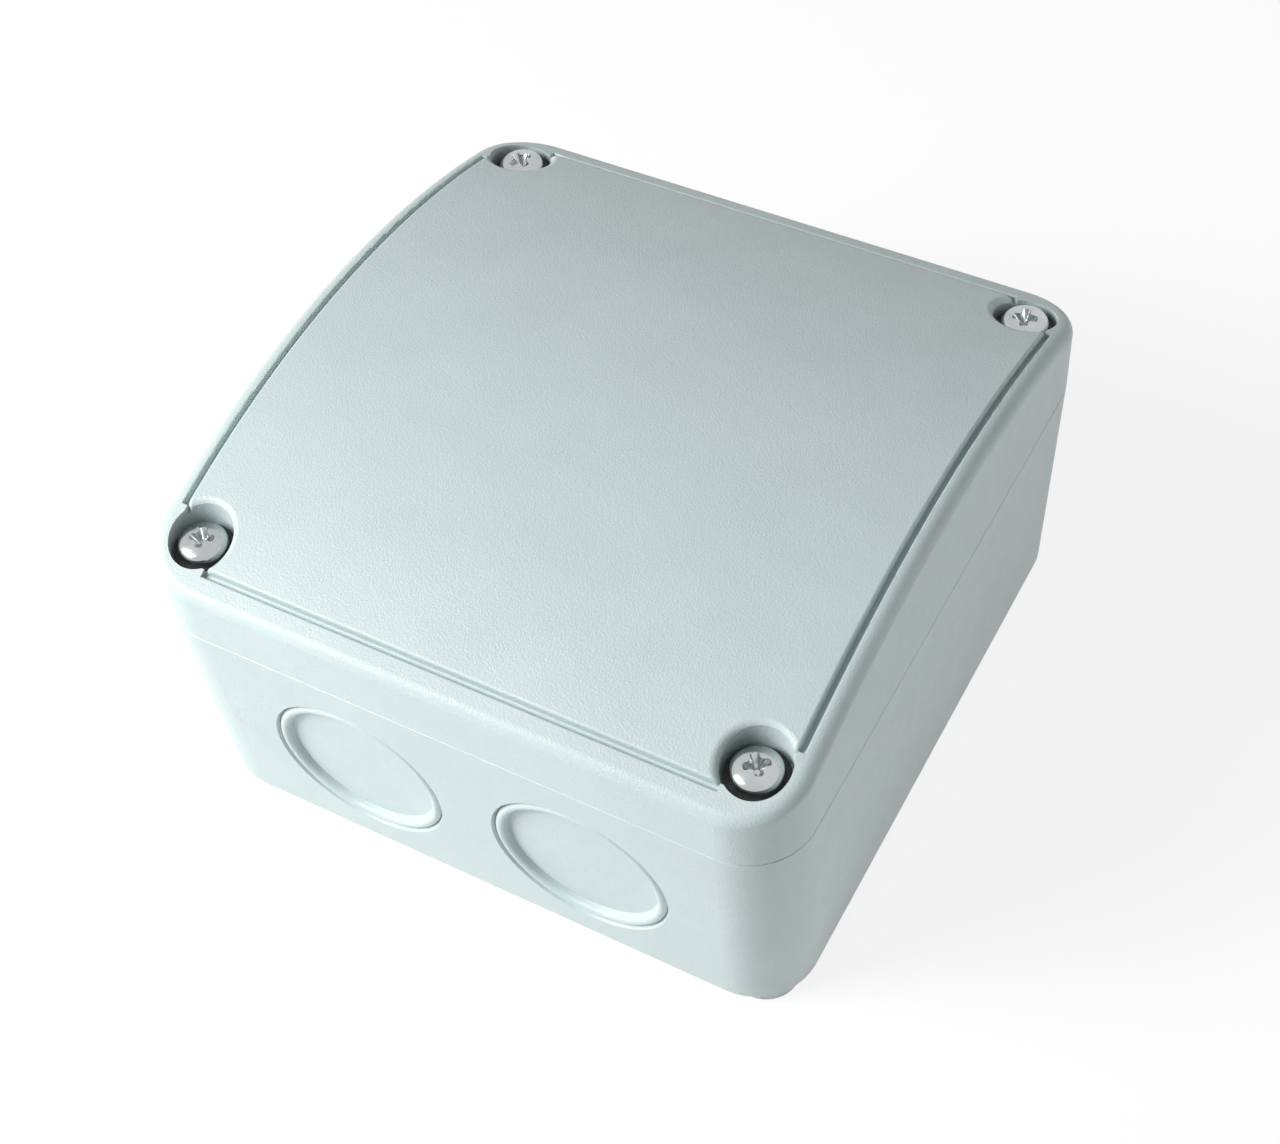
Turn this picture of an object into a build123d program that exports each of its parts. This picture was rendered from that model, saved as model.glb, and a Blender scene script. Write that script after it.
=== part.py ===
from build123d import *
import math
import os

# Case: outline, levels and walls
rim_width = 99.2
rim_depth = 101.8
side_lean = 0.8
end_lean = 1.5
corner_radius = 9.5
foot_height = 1.25
foot_radius = 5.0
wall = 2.5
floor_thickness = 2.5
parting_height = 39.1
parting_round = 0.2
bottom_round = 0.8
overrun = 1.0

# Lid: arch, panel, rim and the groove between them
lid_height = 19.85
arch_radius = 132.9
side_band = 3.1
end_band = 4.1
panel_corner_radius = 5.5
panel_round = 0.45
rim_drop = 0.3
rim_round = 2.0
groove_width = 0.8
groove_depth = 0.9
groove_round = 0.25
groove_stop = 3.05

# Lid screws, their pockets and washers
screw_side_inset = 7.3
screw_end_inset = 8.05
pocket_radius = 4.7
pocket_drop = 1.91
pocket_floor_thickness = 2.2
pocket_round = 1.05
pocket_ream = 0.05
column_wall = 1.6
column_hollow_radius = 3.4
screw_head_radius = 3.5
screw_head_height = 2.5
screw_head_rim_height = 1.3
screw_shank_radius = 1.65
screw_length = 20.0
screw_tip = 0.8
screw_recess_span = 4.2
screw_recess_slot = 1.15
screw_recess_depth = 1.9
recess_taper_share = 0.4
washer_radius = 4.4
washer_thickness = 0.5
screw_hole_gap = 0.3
seat_gap = 0.05
running_gap = 0.06

# Joint between lid and base
tongue_thickness = 1.1
tongue_height = 2.0
tongue_gap = 0.15
seal_height = 1.1
seal_gap = 0.1
column_gap = 0.1

# Corner posts of the base and their brass inserts
boss_radius = 4.6
insert_radius = 2.8
insert_length = 8.0
insert_sink = 0.1
insert_flange_radius = 3.3
insert_flange_height = 0.6
screw_well_gap = 0.35
screw_well_reach = 2.0

# Cable knockouts in the front wall
knockout_x = 18.0
knockout_margin = 4.85
knockout_radius = 13.8
knockout_groove_radius = 13.4
knockout_groove_depth = 0.9
knockout_bead_radius = 12.6
knockout_bead_sink = 0.05
knockout_shoulder_radius = 11.85
knockout_shoulder_sink = 0.65
knockout_disc_radius = 11.7
knockout_disc_sink = 1.3

# Wall-fixing holes in the floor
fixing_screw_gap = 14.3
fixing_end_gap = 4.35
fixing_hole_radius = 2.25
fixing_seat_radius = 4.6
fixing_seat_depth = 1.0

# Circuit board, standoffs and board screws
board_side_gap = 5.1
board_back_gap = 14.9
wiring_depth = 22.9
board_thickness = 1.6
board_corner_radius = 1.5
standoff_height = 4.5
standoff_radius = 3.2
board_screw_inset = 3.8
board_screw_head_radius = 2.7
board_screw_head_height = 1.9
board_screw_head_rim_height = 0.9
board_screw_shank_radius = 1.35
board_screw_length = 5.6
board_screw_tip = 0.6
board_recess_span = 3.0
board_recess_slot = 0.8
board_recess_depth = 1.3
board_hole_gap = 0.2
lead_gap = 0.12
lead_radius = 0.3
lead_tail = 1.2
edge_round = 0.4

# Terminal blocks: housing, screw, rising cage and contact bar of each wire
pole_spacing = 5.08
power_pole_count = 2
output_pole_count = 4
power_start_share = 0.12
output_start_share = 0.345
terminal_depth = 9.0
terminal_height = 11.0
terminal_edge_gap = 0.5
terminal_front_wall = 1.2
cage_room_width = 3.7
cage_room_depth = 5.4
cage_room_floor = 0.3
cage_room_top_gap = 0.3
cage_gap = 0.1
cage_height = 5.3
cage_side_thickness = 0.6
cage_bottom_thickness = 0.7
cage_top_thickness = 1.2
cage_travel = 2.2
contact_thickness = 0.8
contact_width = 2.0
contact_pin_radius = 0.4
wire_entry_width = 3.0
wire_entry_height = 2.9
neck_thickness = 0.8
terminal_head_radius = 1.8
terminal_head_height = 1.2
terminal_head_gap = 0.15
terminal_shank_radius = 1.2
terminal_slot_width = 0.6
terminal_slot_depth = 0.7

# Relays
relay_width = 15.5
relay_depth = 19.0
relay_height = 15.3
relay_pin_radius = 0.45
relay_vent_radius = 0.7
relay_vent_height = 0.3
relay_shares = ((0.405, 0.425), (0.62, 0.425))
relay_pin_shares = ((-0.39, -0.33), (0.39, -0.33), (-0.39, 0.33), (0.39, 0.33), (0.0, 0.40))
relay_vent_shares = (0.3, 0.38)

# Fuse in its clips
fuse_shares = (0.165, 0.31)
fuse_length = 20.0
fuse_radius = 2.6
fuse_glass_radius = 2.4
fuse_glass_wall = 0.5
fuse_wire_radius = 0.15
fuse_cap_length = 5.0
fuse_cap_end = 0.6
clip_width = 4.0
clip_thickness = 0.5
clip_gap = 0.06
clip_rise = 1.4

# Varistor and bridge rectifier
varistor_shares = (0.10, 0.50)
varistor_radius = 4.0
varistor_thickness = 3.2
varistor_stand = 1.0
varistor_lead_spread = 5.0
bridge_shares = (0.10, 0.655)
bridge_radius = 4.4
bridge_height = 5.5
bridge_stand = 1.2
bridge_lead_circle = 2.6
bridge_lead_count = 4

# Electrolytic capacitors
supply_can_shares = (0.225, 0.55)
supply_can_radius = 5.0
supply_can_height = 17.0
logic_can_shares = (0.225, 0.74)
logic_can_radius = 3.15
logic_can_height = 11.0
can_round = 0.6
can_groove_rise = 1.6
can_groove_sink = 0.3
can_groove_width = 0.9
can_lead_share = 0.5

# Voltage regulator
regulator_shares = (0.155, 0.88)
regulator_width = 10.0
regulator_body_height = 9.0
regulator_body_depth = 4.5
regulator_tab_height = 15.6
regulator_tab_thickness = 1.3
regulator_hole_radius = 1.8
regulator_hole_drop = 2.8
regulator_stand = 4.0
regulator_lead_spacing = 2.54
regulator_lead_count = 3
regulator_lead_radius = 0.4

# Microcontroller, socket and resonator
chip_shares = (0.455, 0.74)
chip_length = 22.9
chip_width = 6.4
chip_height = 3.3
chip_notch_radius = 1.0
chip_notch_depth = 0.5
chip_leg_spacing = 2.54
chip_leg_span = 7.6
chip_leg_width = 0.9
chip_leg_thickness = 0.3
chip_leg_count = 9
chip_stand = 0.5
socket_width = 10.0
socket_height = 3.6
socket_slot_width = 4.4
socket_slot_end = 2.2
resonator_shares = (0.455, 0.915)
resonator_length = 9.0
resonator_width = 3.6
resonator_height = 4.0
resonator_lead_spacing = 2.54
resonator_lead_count = 3

# Radio receiver board
radio_shares = (0.75, 0.90)
radio_length = 26.0
radio_height = 14.0
radio_thickness = 1.0
header_pin_count = 8
header_pin_spacing = 2.54
header_depth = 2.5
header_height = 2.5
header_pin_rise = 0.8
radio_can_length = 10.5
radio_can_depth = 3.8
radio_can_height = 7.0
radio_can_offset = 5.5
radio_chip_size = 5.0
radio_chip_depth = 1.5
radio_coil_radius = 1.6
radio_coil_depth = 2.4
radio_part_offset = 6.0
radio_part_rise = 4.2

# Wound aerial
aerial_shares = (0.90, 0.66)
aerial_wire_radius = 0.4
aerial_coil_radius = 2.6
aerial_turn_rise = 1.6
aerial_turn_count = 12
aerial_bend_radius = 1.4
aerial_lift = 1.6
aerial_sample_count = 36

# Learn buttons and status lamps
button_shares = ((0.70, 0.12), (0.84, 0.12))
button_size = 6.0
button_body_height = 3.2
button_plate_thickness = 0.3
button_plunger_radius = 1.75
button_plunger_rise = 1.6
button_travel = 0.25
button_well_gap = 0.35
button_side_gap = 0.1
button_flange_radius = 2.2
button_flange_height = 0.5
button_lead_x = 2.3
button_lead_y = 2.3
lamp_shares = ((0.70, 0.215), (0.84, 0.215))
lamp_radius = 1.5
lamp_flange_radius = 1.9
lamp_flange_height = 1.0
lamp_height = 4.6
lamp_lead_spacing = 1.8

# Jumper header and pull-off cap
jumper_shares = (0.79, 0.40)
jumper_pin_count = 3
jumper_pin_radius = 0.32
jumper_pin_height = 8.4
jumper_base_height = 2.5
jumper_base_depth = 2.5
jumper_cap_depth = 2.4
jumper_cap_height = 7.0
jumper_cap_top = 0.8
jumper_cap_lift = 0.1

# Small parts on the board
transistor_shares = ((0.75, 0.53), (0.84, 0.53))
transistor_radius = 2.3
transistor_height = 4.6
transistor_stand = 1.5
transistor_flat = 1.3
transistor_lead_spacing = 1.27
transistor_lead_count = 3
transistor_lead_radius = 0.25
diode_shares = ((0.395, 0.625), (0.59, 0.625))
diode_radius = 1.3
diode_length = 5.0
resistor_shares = ((0.70, 0.64), (0.70, 0.70), (0.70, 0.76), (0.295, 0.90), (0.70, 0.82))
resistor_radius = 1.15
resistor_length = 6.2
axial_lead_reach = 1.6
axial_stand = 0.15
disc_shares = ((0.81, 0.64), (0.81, 0.72), (0.93, 0.40), (0.93, 0.30))
disc_radius = 2.4
disc_thickness = 1.6
disc_round = 0.5
disc_stand = 1.0
disc_lead_spread = 2.5

# Levels and places that follow from the sizes above
floor_top = foot_height + floor_thickness
bottom_width = rim_width - 2 * side_lean
bottom_depth = rim_depth - 2 * end_lean
inner_width = rim_width - 2 * wall
inner_depth = rim_depth - 2 * wall
inner_corner_radius = corner_radius - wall
board_bottom = floor_top + standoff_height
board_top = board_bottom + board_thickness
board_width = inner_width - 2 * board_side_gap
board_front_y = wiring_depth - inner_depth / 2
board_back_y = inner_depth / 2 - board_back_gap
board_depth = board_back_y - board_front_y
panel_width = rim_width - 2 * side_band
panel_depth = rim_depth - 2 * end_band
arch_top = parting_height + lid_height
arch_centre = arch_top - arch_radius
ledge_height = arch_centre + math.sqrt((arch_radius - rim_drop) ** 2 - (panel_depth / 2) ** 2)
pocket_floor_height = ledge_height - pocket_drop
screw_x = rim_width / 2 - screw_side_inset
screw_y = rim_depth / 2 - screw_end_inset
fixing_x = screw_x - fixing_screw_gap
fixing_y = screw_y - fixing_end_gap
knockout_height = foot_height + knockout_margin + knockout_radius
rebate_top = parting_height + tongue_height + seal_gap + seal_height
screw_seat = pocket_floor_height + washer_thickness + 2 * seat_gap
corners = {
    "front_left": (-screw_x, -screw_y),
    "front_right": (screw_x, -screw_y),
    "back_left": (-screw_x, screw_y),
    "back_right": (screw_x, screw_y),
}
terminal_front_y = board_front_y + terminal_edge_gap
pole_y = terminal_front_y + terminal_front_wall + cage_room_depth / 2
cage_low = board_top + cage_room_floor + cage_gap
contact_top = cage_low + cage_height - cage_top_thickness - cage_gap
cage_room_top = cage_low + cage_height + cage_travel + cage_room_top_gap
terminal_seat = cage_room_top + neck_thickness + seat_gap
fuse_axis_height = board_top + clip_thickness + clip_gap + fuse_radius
drilled = []


def block(x_low, x_high, y_low, y_high, z_low, z_high):
    """A box given by its low and high coordinates."""
    box = Box(x_high - x_low, y_high - y_low, z_high - z_low, align=(Align.MIN, Align.MIN, Align.MIN))
    return Pos(x_low, y_low, z_low) * box


def centred_block(x, y, width, depth, z_low, z_high):
    """A box centred on a point of the plan."""
    return block(x - width / 2, x + width / 2, y - depth / 2, y + depth / 2, z_low, z_high)


def post(x, y, z_low, z_high, radius):
    """An upright cylinder."""
    cylinder = Cylinder(radius, z_high - z_low, align=(Align.CENTER, Align.CENTER, Align.MIN))
    return Pos(x, y, z_low) * cylinder


def rod_along_x(x_low, x_high, y, z, radius):
    """A cylinder that lies across the case."""
    return Pos((x_low + x_high) / 2, y, z) * Rot(0, 90, 0) * Cylinder(radius, x_high - x_low)


def disc_facing_front(x, y, z, radius, thickness):
    """A cylinder that lies front to back."""
    return Pos(x, y, z) * Rot(90, 0, 0) * Cylinder(radius, thickness)


def rounded_block(width, depth, radius, z_low, z_high):
    """A block with rounded upright corners, centred on the case."""
    outline = Plane.XY.offset(z_low) * RectangleRounded(width, depth, radius)
    return extrude(outline, amount=z_high - z_low)


def turned(outline):
    """A solid turned about the upright axis from a closed outline of radius and height."""
    return revolve(Plane.XZ * make_face(outline), axis=Axis.Z)


def case_width(height):
    """Width of the base at a height: its walls lean outwards to the parting line."""
    share = (height - foot_height) / (parting_height - foot_height)
    return bottom_width + (rim_width - bottom_width) * share


def case_depth(height):
    """Depth of the base at a height."""
    share = (height - foot_height) / (parting_height - foot_height)
    return bottom_depth + (rim_depth - bottom_depth) * share


def case_outline(height, inset):
    """The outline of the base at a height, drawn in all round by an inset."""
    return Plane.XY.offset(height) * RectangleRounded(
        case_width(height) - 2 * inset, case_depth(height) - 2 * inset, corner_radius - inset)


def on_board(shares):
    """A place on the board, as shares of its width and depth from its front left corner."""
    return shares[0] * board_width - board_width / 2, board_front_y + shares[1] * board_depth


def lead(x, y, z_high, radius=lead_radius):
    """A wire lead down through the board. Its hole is noted for drilling."""
    drilled.append((x, y, radius + lead_gap))
    return post(x, y, board_bottom - lead_tail, z_high, radius)


def row(count, pitch):
    """Evenly spaced offsets, centred on zero."""
    return [pitch * (index - (count - 1) / 2) for index in range(count)]


def save(name, *solids):
    """Write one node. Several solids stay apart in the same node."""
    shape = solids[0] if len(solids) == 1 else Compound(children=list(solids))
    export_step(shape, f"parts/{name}.step")


def knockout(x):
    """The cut that leaves a thin disc, a round bead and a narrow groove in the front wall."""
    lean = math.atan2((rim_depth - bottom_depth) / 2, parting_height - foot_height)
    face = Plane(
        origin=(x, -case_depth(knockout_height) / 2, knockout_height),
        x_dir=(1, 0, 0),
        z_dir=(0, -math.cos(lean), -math.sin(lean)))
    disc_edge = (knockout_disc_radius, -knockout_disc_sink)
    shoulder = (knockout_shoulder_radius, -knockout_shoulder_sink)
    groove_edge = (knockout_groove_radius, -knockout_groove_depth)
    outline = [
        Line((0, -knockout_disc_sink), disc_edge),
        Line(disc_edge, shoulder),
        ThreePointArc(shoulder, (knockout_bead_radius, -knockout_bead_sink), groove_edge),
        Line(groove_edge, (knockout_radius, 0)),
        Line((knockout_radius, 0), (knockout_radius, overrun)),
        Line((knockout_radius, overrun), (0, overrun)),
        Line((0, overrun), (0, -knockout_disc_sink)),
    ]
    return face.location * turned(outline)


def corner_fill(x, y):
    """A screw post that fills its corner of the case."""
    low_x, high_x = sorted((x, math.copysign(rim_width / 2, x)))
    low_y, high_y = sorted((y, math.copysign(rim_depth / 2, y)))
    fill = post(x, y, foot_height, parting_height, boss_radius)
    fill += block(low_x, high_x, y - boss_radius, y + boss_radius, foot_height, parting_height)
    fill += block(x - boss_radius, x + boss_radius, low_y, high_y, foot_height, parting_height)
    return fill


def standoff_places():
    """Centres of the board's four fixing screws."""
    x = board_width / 2 - board_screw_inset
    rows = (board_front_y + board_screw_inset, board_back_y - board_screw_inset)
    return [(side * x, y) for side in (-1, 1) for y in rows]


def base():
    """The tray of the case: walls, floor, feet, corner posts, standoffs and knockouts."""
    shoulder = case_outline(parting_height - parting_round, 0)
    outer = loft([case_outline(foot_height, 0), shoulder], ruled=True)
    outer = fillet(outer.faces().sort_by(Axis.Z)[0].edges(), bottom_round)
    outer += loft([shoulder, case_outline(parting_height, parting_round)], ruled=True)
    body = outer - loft(
        [case_outline(floor_top, wall), case_outline(parting_height + overrun, wall)], ruled=True)
    for x, y in corners.values():
        body += corner_fill(x, y) & outer
    tongue = rounded_block(
        inner_width + 2 * tongue_thickness, inner_depth + 2 * tongue_thickness,
        inner_corner_radius + tongue_thickness, parting_height - overrun, parting_height + tongue_height)
    tongue -= rounded_block(
        inner_width, inner_depth, inner_corner_radius, parting_height - 2 * overrun, rebate_top)
    body += tongue
    for x, y in corners.values():
        body += post(x, y, 0, floor_top, foot_radius)
        collar_low = parting_height - insert_sink - insert_flange_height - seat_gap
        sleeve_low = parting_height - insert_sink - insert_length - seat_gap
        well_low = screw_seat - screw_length - screw_well_reach
        body -= post(x, y, collar_low, parting_height + overrun, insert_flange_radius + seat_gap)
        body -= post(x, y, sleeve_low, parting_height, insert_radius + seat_gap)
        body -= post(x, y, well_low, parting_height, screw_shank_radius + screw_well_gap)
    for x, y in standoff_places():
        body += post(x, y, floor_top - overrun, board_bottom, standoff_radius)
        pilot_low = board_top - board_screw_length - seat_gap
        body -= post(x, y, pilot_low, board_top, board_screw_shank_radius + running_gap)
    for x in (-fixing_x, fixing_x):
        for y in (-fixing_y, fixing_y):
            body -= post(x, y, 0, floor_top + overrun, fixing_hole_radius)
            body -= post(x, y, floor_top - fixing_seat_depth, floor_top + overrun, fixing_seat_radius)
    for x in (-knockout_x, knockout_x):
        body -= knockout(x)
    return body


def under_arch(drop):
    """All that lies under the lid's arch, or under a surface a given depth below it."""
    return Pos(0, 0, arch_centre) * Rot(0, 90, 0) * Cylinder(arch_radius - drop, 2 * rim_width)


def near_a_screw(edge):
    """Whether the middle of an edge lies inside the reach of a screw pocket."""
    middle = edge.center()
    return min(math.dist((middle.X, middle.Y), place) for place in corners.values()) < pocket_radius


def largest_face(shape):
    """The face with the most area."""
    return max(shape.faces(), key=lambda face: face.area)


def lid_panel():
    """The raised middle of the lid's top, with the screw pockets bitten out of its corners."""
    panel = rounded_block(
        panel_width, panel_depth, panel_corner_radius, pocket_floor_height - overrun, arch_top)
    panel &= under_arch(0)
    for x, y in corners.values():
        panel -= post(x, y, parting_height, arch_top + overrun, pocket_radius - pocket_ream)
    panel = fillet([edge for edge in largest_face(panel).edges() if near_a_screw(edge)], pocket_round)
    straight_edges = [edge for edge in largest_face(panel).edges() if edge.length > panel_depth / 2]
    return fillet(straight_edges, panel_round)


def groove():
    """The cut round the panel, which stops square short of the screw pockets."""
    sunk = rounded_block(
        panel_width + 2 * groove_width, panel_depth + 2 * groove_width, panel_corner_radius + groove_width,
        parting_height, arch_top + overrun)
    sunk -= under_arch(rim_drop + groove_depth)
    low, high = parting_height - overrun, arch_top + 2 * overrun
    reach = rounded_block(
        panel_width - 2 * pocket_ream, panel_depth - 2 * pocket_ream, panel_corner_radius - pocket_ream,
        low, high)
    reach += block(groove_stop - screw_x, screw_x - groove_stop, -rim_depth / 2, rim_depth / 2, low, high)
    reach += block(-rim_width / 2, rim_width / 2, groove_stop - screw_y, screw_y - groove_stop, low, high)
    return sunk & reach


def groove_lips(rim):
    """The long upper edges of the groove's outer wall: two at the sides and two at the ends."""
    along = [edge for edge in rim.edges() if edge.length > panel_depth / 2]
    sides = [e for e in along if abs(abs(e.center().X) - panel_width / 2 - groove_width) < pocket_ream]
    ends = [e for e in along if abs(abs(e.center().Y) - panel_depth / 2 - groove_width) < pocket_ream]
    return ShapeList(sides).sort_by(Axis.Z)[-2:] + ShapeList(ends).sort_by(Axis.Z)[-2:]


def lid_rim():
    """The lid's skirt and the rounded rim that frames the panel."""
    rim = rounded_block(rim_width, rim_depth, corner_radius, parting_height, arch_top)
    rim &= under_arch(rim_drop)
    rim = fillet(largest_face(rim).edges(), rim_round)
    rim = chamfer(rim.faces().sort_by(Axis.Z)[0].edges(), parting_round)
    rim -= groove()
    return fillet(groove_lips(rim), groove_round)


def lid():
    """The cover: arched panel, rim, skirt and the four screw columns inside."""
    body = lid_rim() + lid_panel()
    cavity = rounded_block(
        inner_width, inner_depth, inner_corner_radius, parting_height - overrun, arch_top)
    cavity &= under_arch(wall)
    for x, y in corners.values():
        cavity -= post(x, y, parting_height + column_gap, arch_top, pocket_radius + column_wall)
    body -= cavity
    rebate = rounded_block(
        inner_width + 2 * (tongue_thickness + tongue_gap), inner_depth + 2 * (tongue_thickness + tongue_gap),
        inner_corner_radius + tongue_thickness + tongue_gap, parting_height - overrun, rebate_top)
    rebate -= rounded_block(
        inner_width - 2 * tongue_gap, inner_depth - 2 * tongue_gap, inner_corner_radius - tongue_gap,
        parting_height - 2 * overrun, rebate_top + overrun)
    body -= rebate
    for x, y in corners.values():
        hollow_top = pocket_floor_height - pocket_floor_thickness
        body -= post(x, y, pocket_floor_height, arch_top + overrun, pocket_radius)
        body -= post(x, y, parting_height - overrun, hollow_top, column_hollow_radius)
        body -= post(x, y, parting_height, pocket_floor_height, screw_shank_radius + screw_hole_gap)
    return body


def lid_seal():
    """The rubber cord round the lid, pressed against the top of the base's tongue."""
    low = parting_height + tongue_height + seal_gap
    ring = rounded_block(
        inner_width + 2 * tongue_thickness, inner_depth + 2 * tongue_thickness,
        inner_corner_radius + tongue_thickness, low, rebate_top)
    ring -= rounded_block(
        inner_width + 2 * seal_gap, inner_depth + 2 * seal_gap, inner_corner_radius + seal_gap,
        low - overrun, rebate_top + overrun)
    return ring


def cross_recess(top, span, slot, depth):
    """A cross-shaped driver recess that narrows towards its bottom."""
    mouth = Plane.XY.offset(top) * Rectangle(span, slot)
    end = Plane.XY.offset(top - depth) * Rectangle(span * recess_taper_share, slot * recess_taper_share)
    blade = loft([mouth, end])
    return blade + Rot(0, 0, 90) * blade


def pan_head_screw(head_radius, head_height, head_rim_height, shank_radius, length, tip):
    """A domed screw, with the underside of its head at height zero."""
    outline = [
        Line((0, -length), (shank_radius - tip / 2, -length)),
        Line((shank_radius - tip / 2, -length), (shank_radius, tip - length)),
        Line((shank_radius, tip - length), (shank_radius, 0)),
        Line((shank_radius, 0), (head_radius, 0)),
        Line((head_radius, 0), (head_radius, head_rim_height)),
        TangentArc((0, head_height), (head_radius, head_rim_height), tangent=(1, 0)),
        Line((0, head_height), (0, -length)),
    ]
    return turned(outline)


def lid_screw():
    """A lid screw, with the underside of its head at height zero."""
    screw = pan_head_screw(
        screw_head_radius, screw_head_height, screw_head_rim_height, screw_shank_radius, screw_length, screw_tip)
    return screw - cross_recess(screw_head_height, screw_recess_span, screw_recess_slot, screw_recess_depth)


def board_screw():
    """A board screw, with the underside of its head at height zero."""
    screw = pan_head_screw(
        board_screw_head_radius, board_screw_head_height, board_screw_head_rim_height,
        board_screw_shank_radius, board_screw_length, board_screw_tip)
    return screw - cross_recess(
        board_screw_head_height, board_recess_span, board_recess_slot, board_recess_depth)


def screw_washer(x, y):
    """The sealing washer between a lid screw's head and its pocket's floor."""
    low = pocket_floor_height + seat_gap
    ring = post(x, y, low, low + washer_thickness, washer_radius)
    return ring - post(x, y, low - overrun, screw_seat + overrun, screw_shank_radius + seat_gap)


def brass_insert(x, y):
    """The flanged brass sleeve that a lid screw goes into."""
    top = parting_height - insert_sink
    sleeve = post(x, y, top - insert_length, top, insert_radius)
    sleeve += post(x, y, top - insert_flange_height, top, insert_flange_radius)
    return sleeve - post(x, y, top - insert_length, top + overrun, screw_shank_radius + running_gap)


def circuit_board():
    """The board, drilled for its fixing screws and for every lead."""
    board = rounded_block(board_width, board_depth, board_corner_radius, board_bottom, board_top)
    board = Pos(0, (board_front_y + board_back_y) / 2, 0) * board
    holes = [(x, y, board_screw_shank_radius + board_hole_gap) for x, y in standoff_places()]
    return board - [post(x, y, board_bottom - overrun, board_top + overrun, r) for x, y, r in holes + drilled]


def pole_places(start_share, count):
    """The middle of each wire's place in a terminal block."""
    start = start_share * board_width - board_width / 2
    return [start + pole_spacing * (index + 1 / 2) for index in range(count)]


def terminal_housing(poles):
    """The plastic body of a terminal block, hollowed for the parts of each pole."""
    x_low = poles[0] - pole_spacing / 2
    x_high = poles[-1] + pole_spacing / 2
    top = board_top + terminal_height
    body = block(x_low, x_high, terminal_front_y, terminal_front_y + terminal_depth, board_top, top)
    body = chamfer(body.faces().sort_by(Axis.Z)[-1].edges().filter_by(Axis.X), edge_round)
    room_back = pole_y + cage_room_depth / 2
    slot_back = room_back + cage_room_floor + contact_thickness + cage_gap
    for x in poles:
        body -= centred_block(
            x, pole_y, cage_room_width, cage_room_depth, board_top + cage_room_floor, cage_room_top)
        body -= post(x, pole_y, cage_room_top - overrun, top, terminal_shank_radius + running_gap)
        body -= post(
            x, pole_y, terminal_seat - seat_gap, top + overrun, terminal_head_radius + terminal_head_gap)
        entry_low = cage_low + cage_bottom_thickness
        body -= centred_block(
            x, terminal_front_y, wire_entry_width, 2 * terminal_front_wall + cage_gap,
            entry_low, entry_low + wire_entry_height)
        body -= block(
            x - contact_width / 2 - cage_gap, x + contact_width / 2 + cage_gap,
            room_back - overrun, slot_back, board_top - overrun, contact_top + cage_gap)
    return body


def terminal_contact(x):
    """The bar that a wire is pressed against, with its leg and pin behind the cage."""
    room_back = pole_y + cage_room_depth / 2
    leg_front = room_back + cage_room_floor
    leg_back = leg_front + contact_thickness
    bar = block(
        x - contact_width / 2, x + contact_width / 2, pole_y - cage_room_depth / 2 + cage_room_floor,
        leg_back, contact_top - contact_thickness, contact_top)
    bar += block(x - contact_width / 2, x + contact_width / 2, leg_front, leg_back, board_top, contact_top)
    return bar + lead(x, (leg_front + leg_back) / 2, board_top + contact_thickness, contact_pin_radius)


def terminal_screw(x):
    """The slotted screw that turns in place and draws its cage up."""
    screw = post(x, pole_y, terminal_seat, terminal_seat + terminal_head_height, terminal_head_radius)
    top = terminal_seat + terminal_head_height
    screw -= centred_block(
        x, pole_y, 2 * terminal_head_radius + overrun, terminal_slot_width, top - terminal_slot_depth,
        top + overrun)
    return screw + post(x, pole_y, contact_top + cage_gap, terminal_seat, terminal_shank_radius)


def terminal_cage(x):
    """The square clamp cage that rises on its screw and grips the wire."""
    width = cage_room_width - 2 * cage_gap
    cage = centred_block(x, pole_y, width, cage_room_depth - 2 * cage_gap, cage_low, cage_low + cage_height)
    cage -= centred_block(
        x, pole_y, width - 2 * cage_side_thickness, cage_room_depth, cage_low + cage_bottom_thickness,
        cage_low + cage_height - cage_top_thickness)
    return cage - post(
        x, pole_y, cage_low + cage_bottom_thickness, cage_low + cage_height + overrun,
        terminal_shank_radius + running_gap)


def relay(x, y):
    """A sealed relay: rounded plastic case with a small vent nib on top."""
    top = board_top + relay_height
    case = centred_block(x, y, relay_width, relay_depth, board_top, top)
    sides = case.edges().filter_by(Axis.Z) + case.faces().sort_by(Axis.Z)[-1].edges()
    case = fillet(sides, edge_round)
    nib_x = x + relay_vent_shares[0] * relay_width
    nib_y = y + relay_vent_shares[1] * relay_depth
    return case + post(nib_x, nib_y, top - overrun, top + relay_vent_height, relay_vent_radius)


def relay_pins(x, y):
    """The five pins under a relay."""
    places = [(x + a * relay_width, y + b * relay_depth) for a, b in relay_pin_shares]
    return [lead(pin_x, pin_y, board_top, relay_pin_radius) for pin_x, pin_y in places]


def fuse_cap_middle(side):
    """The middle of a fuse cap and of its clip."""
    return on_board(fuse_shares)[0] + side * (fuse_length - fuse_cap_length) / 2


def fuse_clip(side):
    """A spring clip that holds one end cap between two upright leaves."""
    x = fuse_cap_middle(side)
    y = on_board(fuse_shares)[1]
    reach = fuse_radius + clip_gap + clip_thickness
    clip = centred_block(x, y, clip_width, 2 * reach, board_top, fuse_axis_height + clip_rise)
    clip -= centred_block(
        x, y, clip_width + overrun, 2 * (reach - clip_thickness), board_top + clip_thickness,
        fuse_axis_height + clip_rise + overrun)
    return clip + lead(x, y, board_top + clip_thickness / 2)


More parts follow.
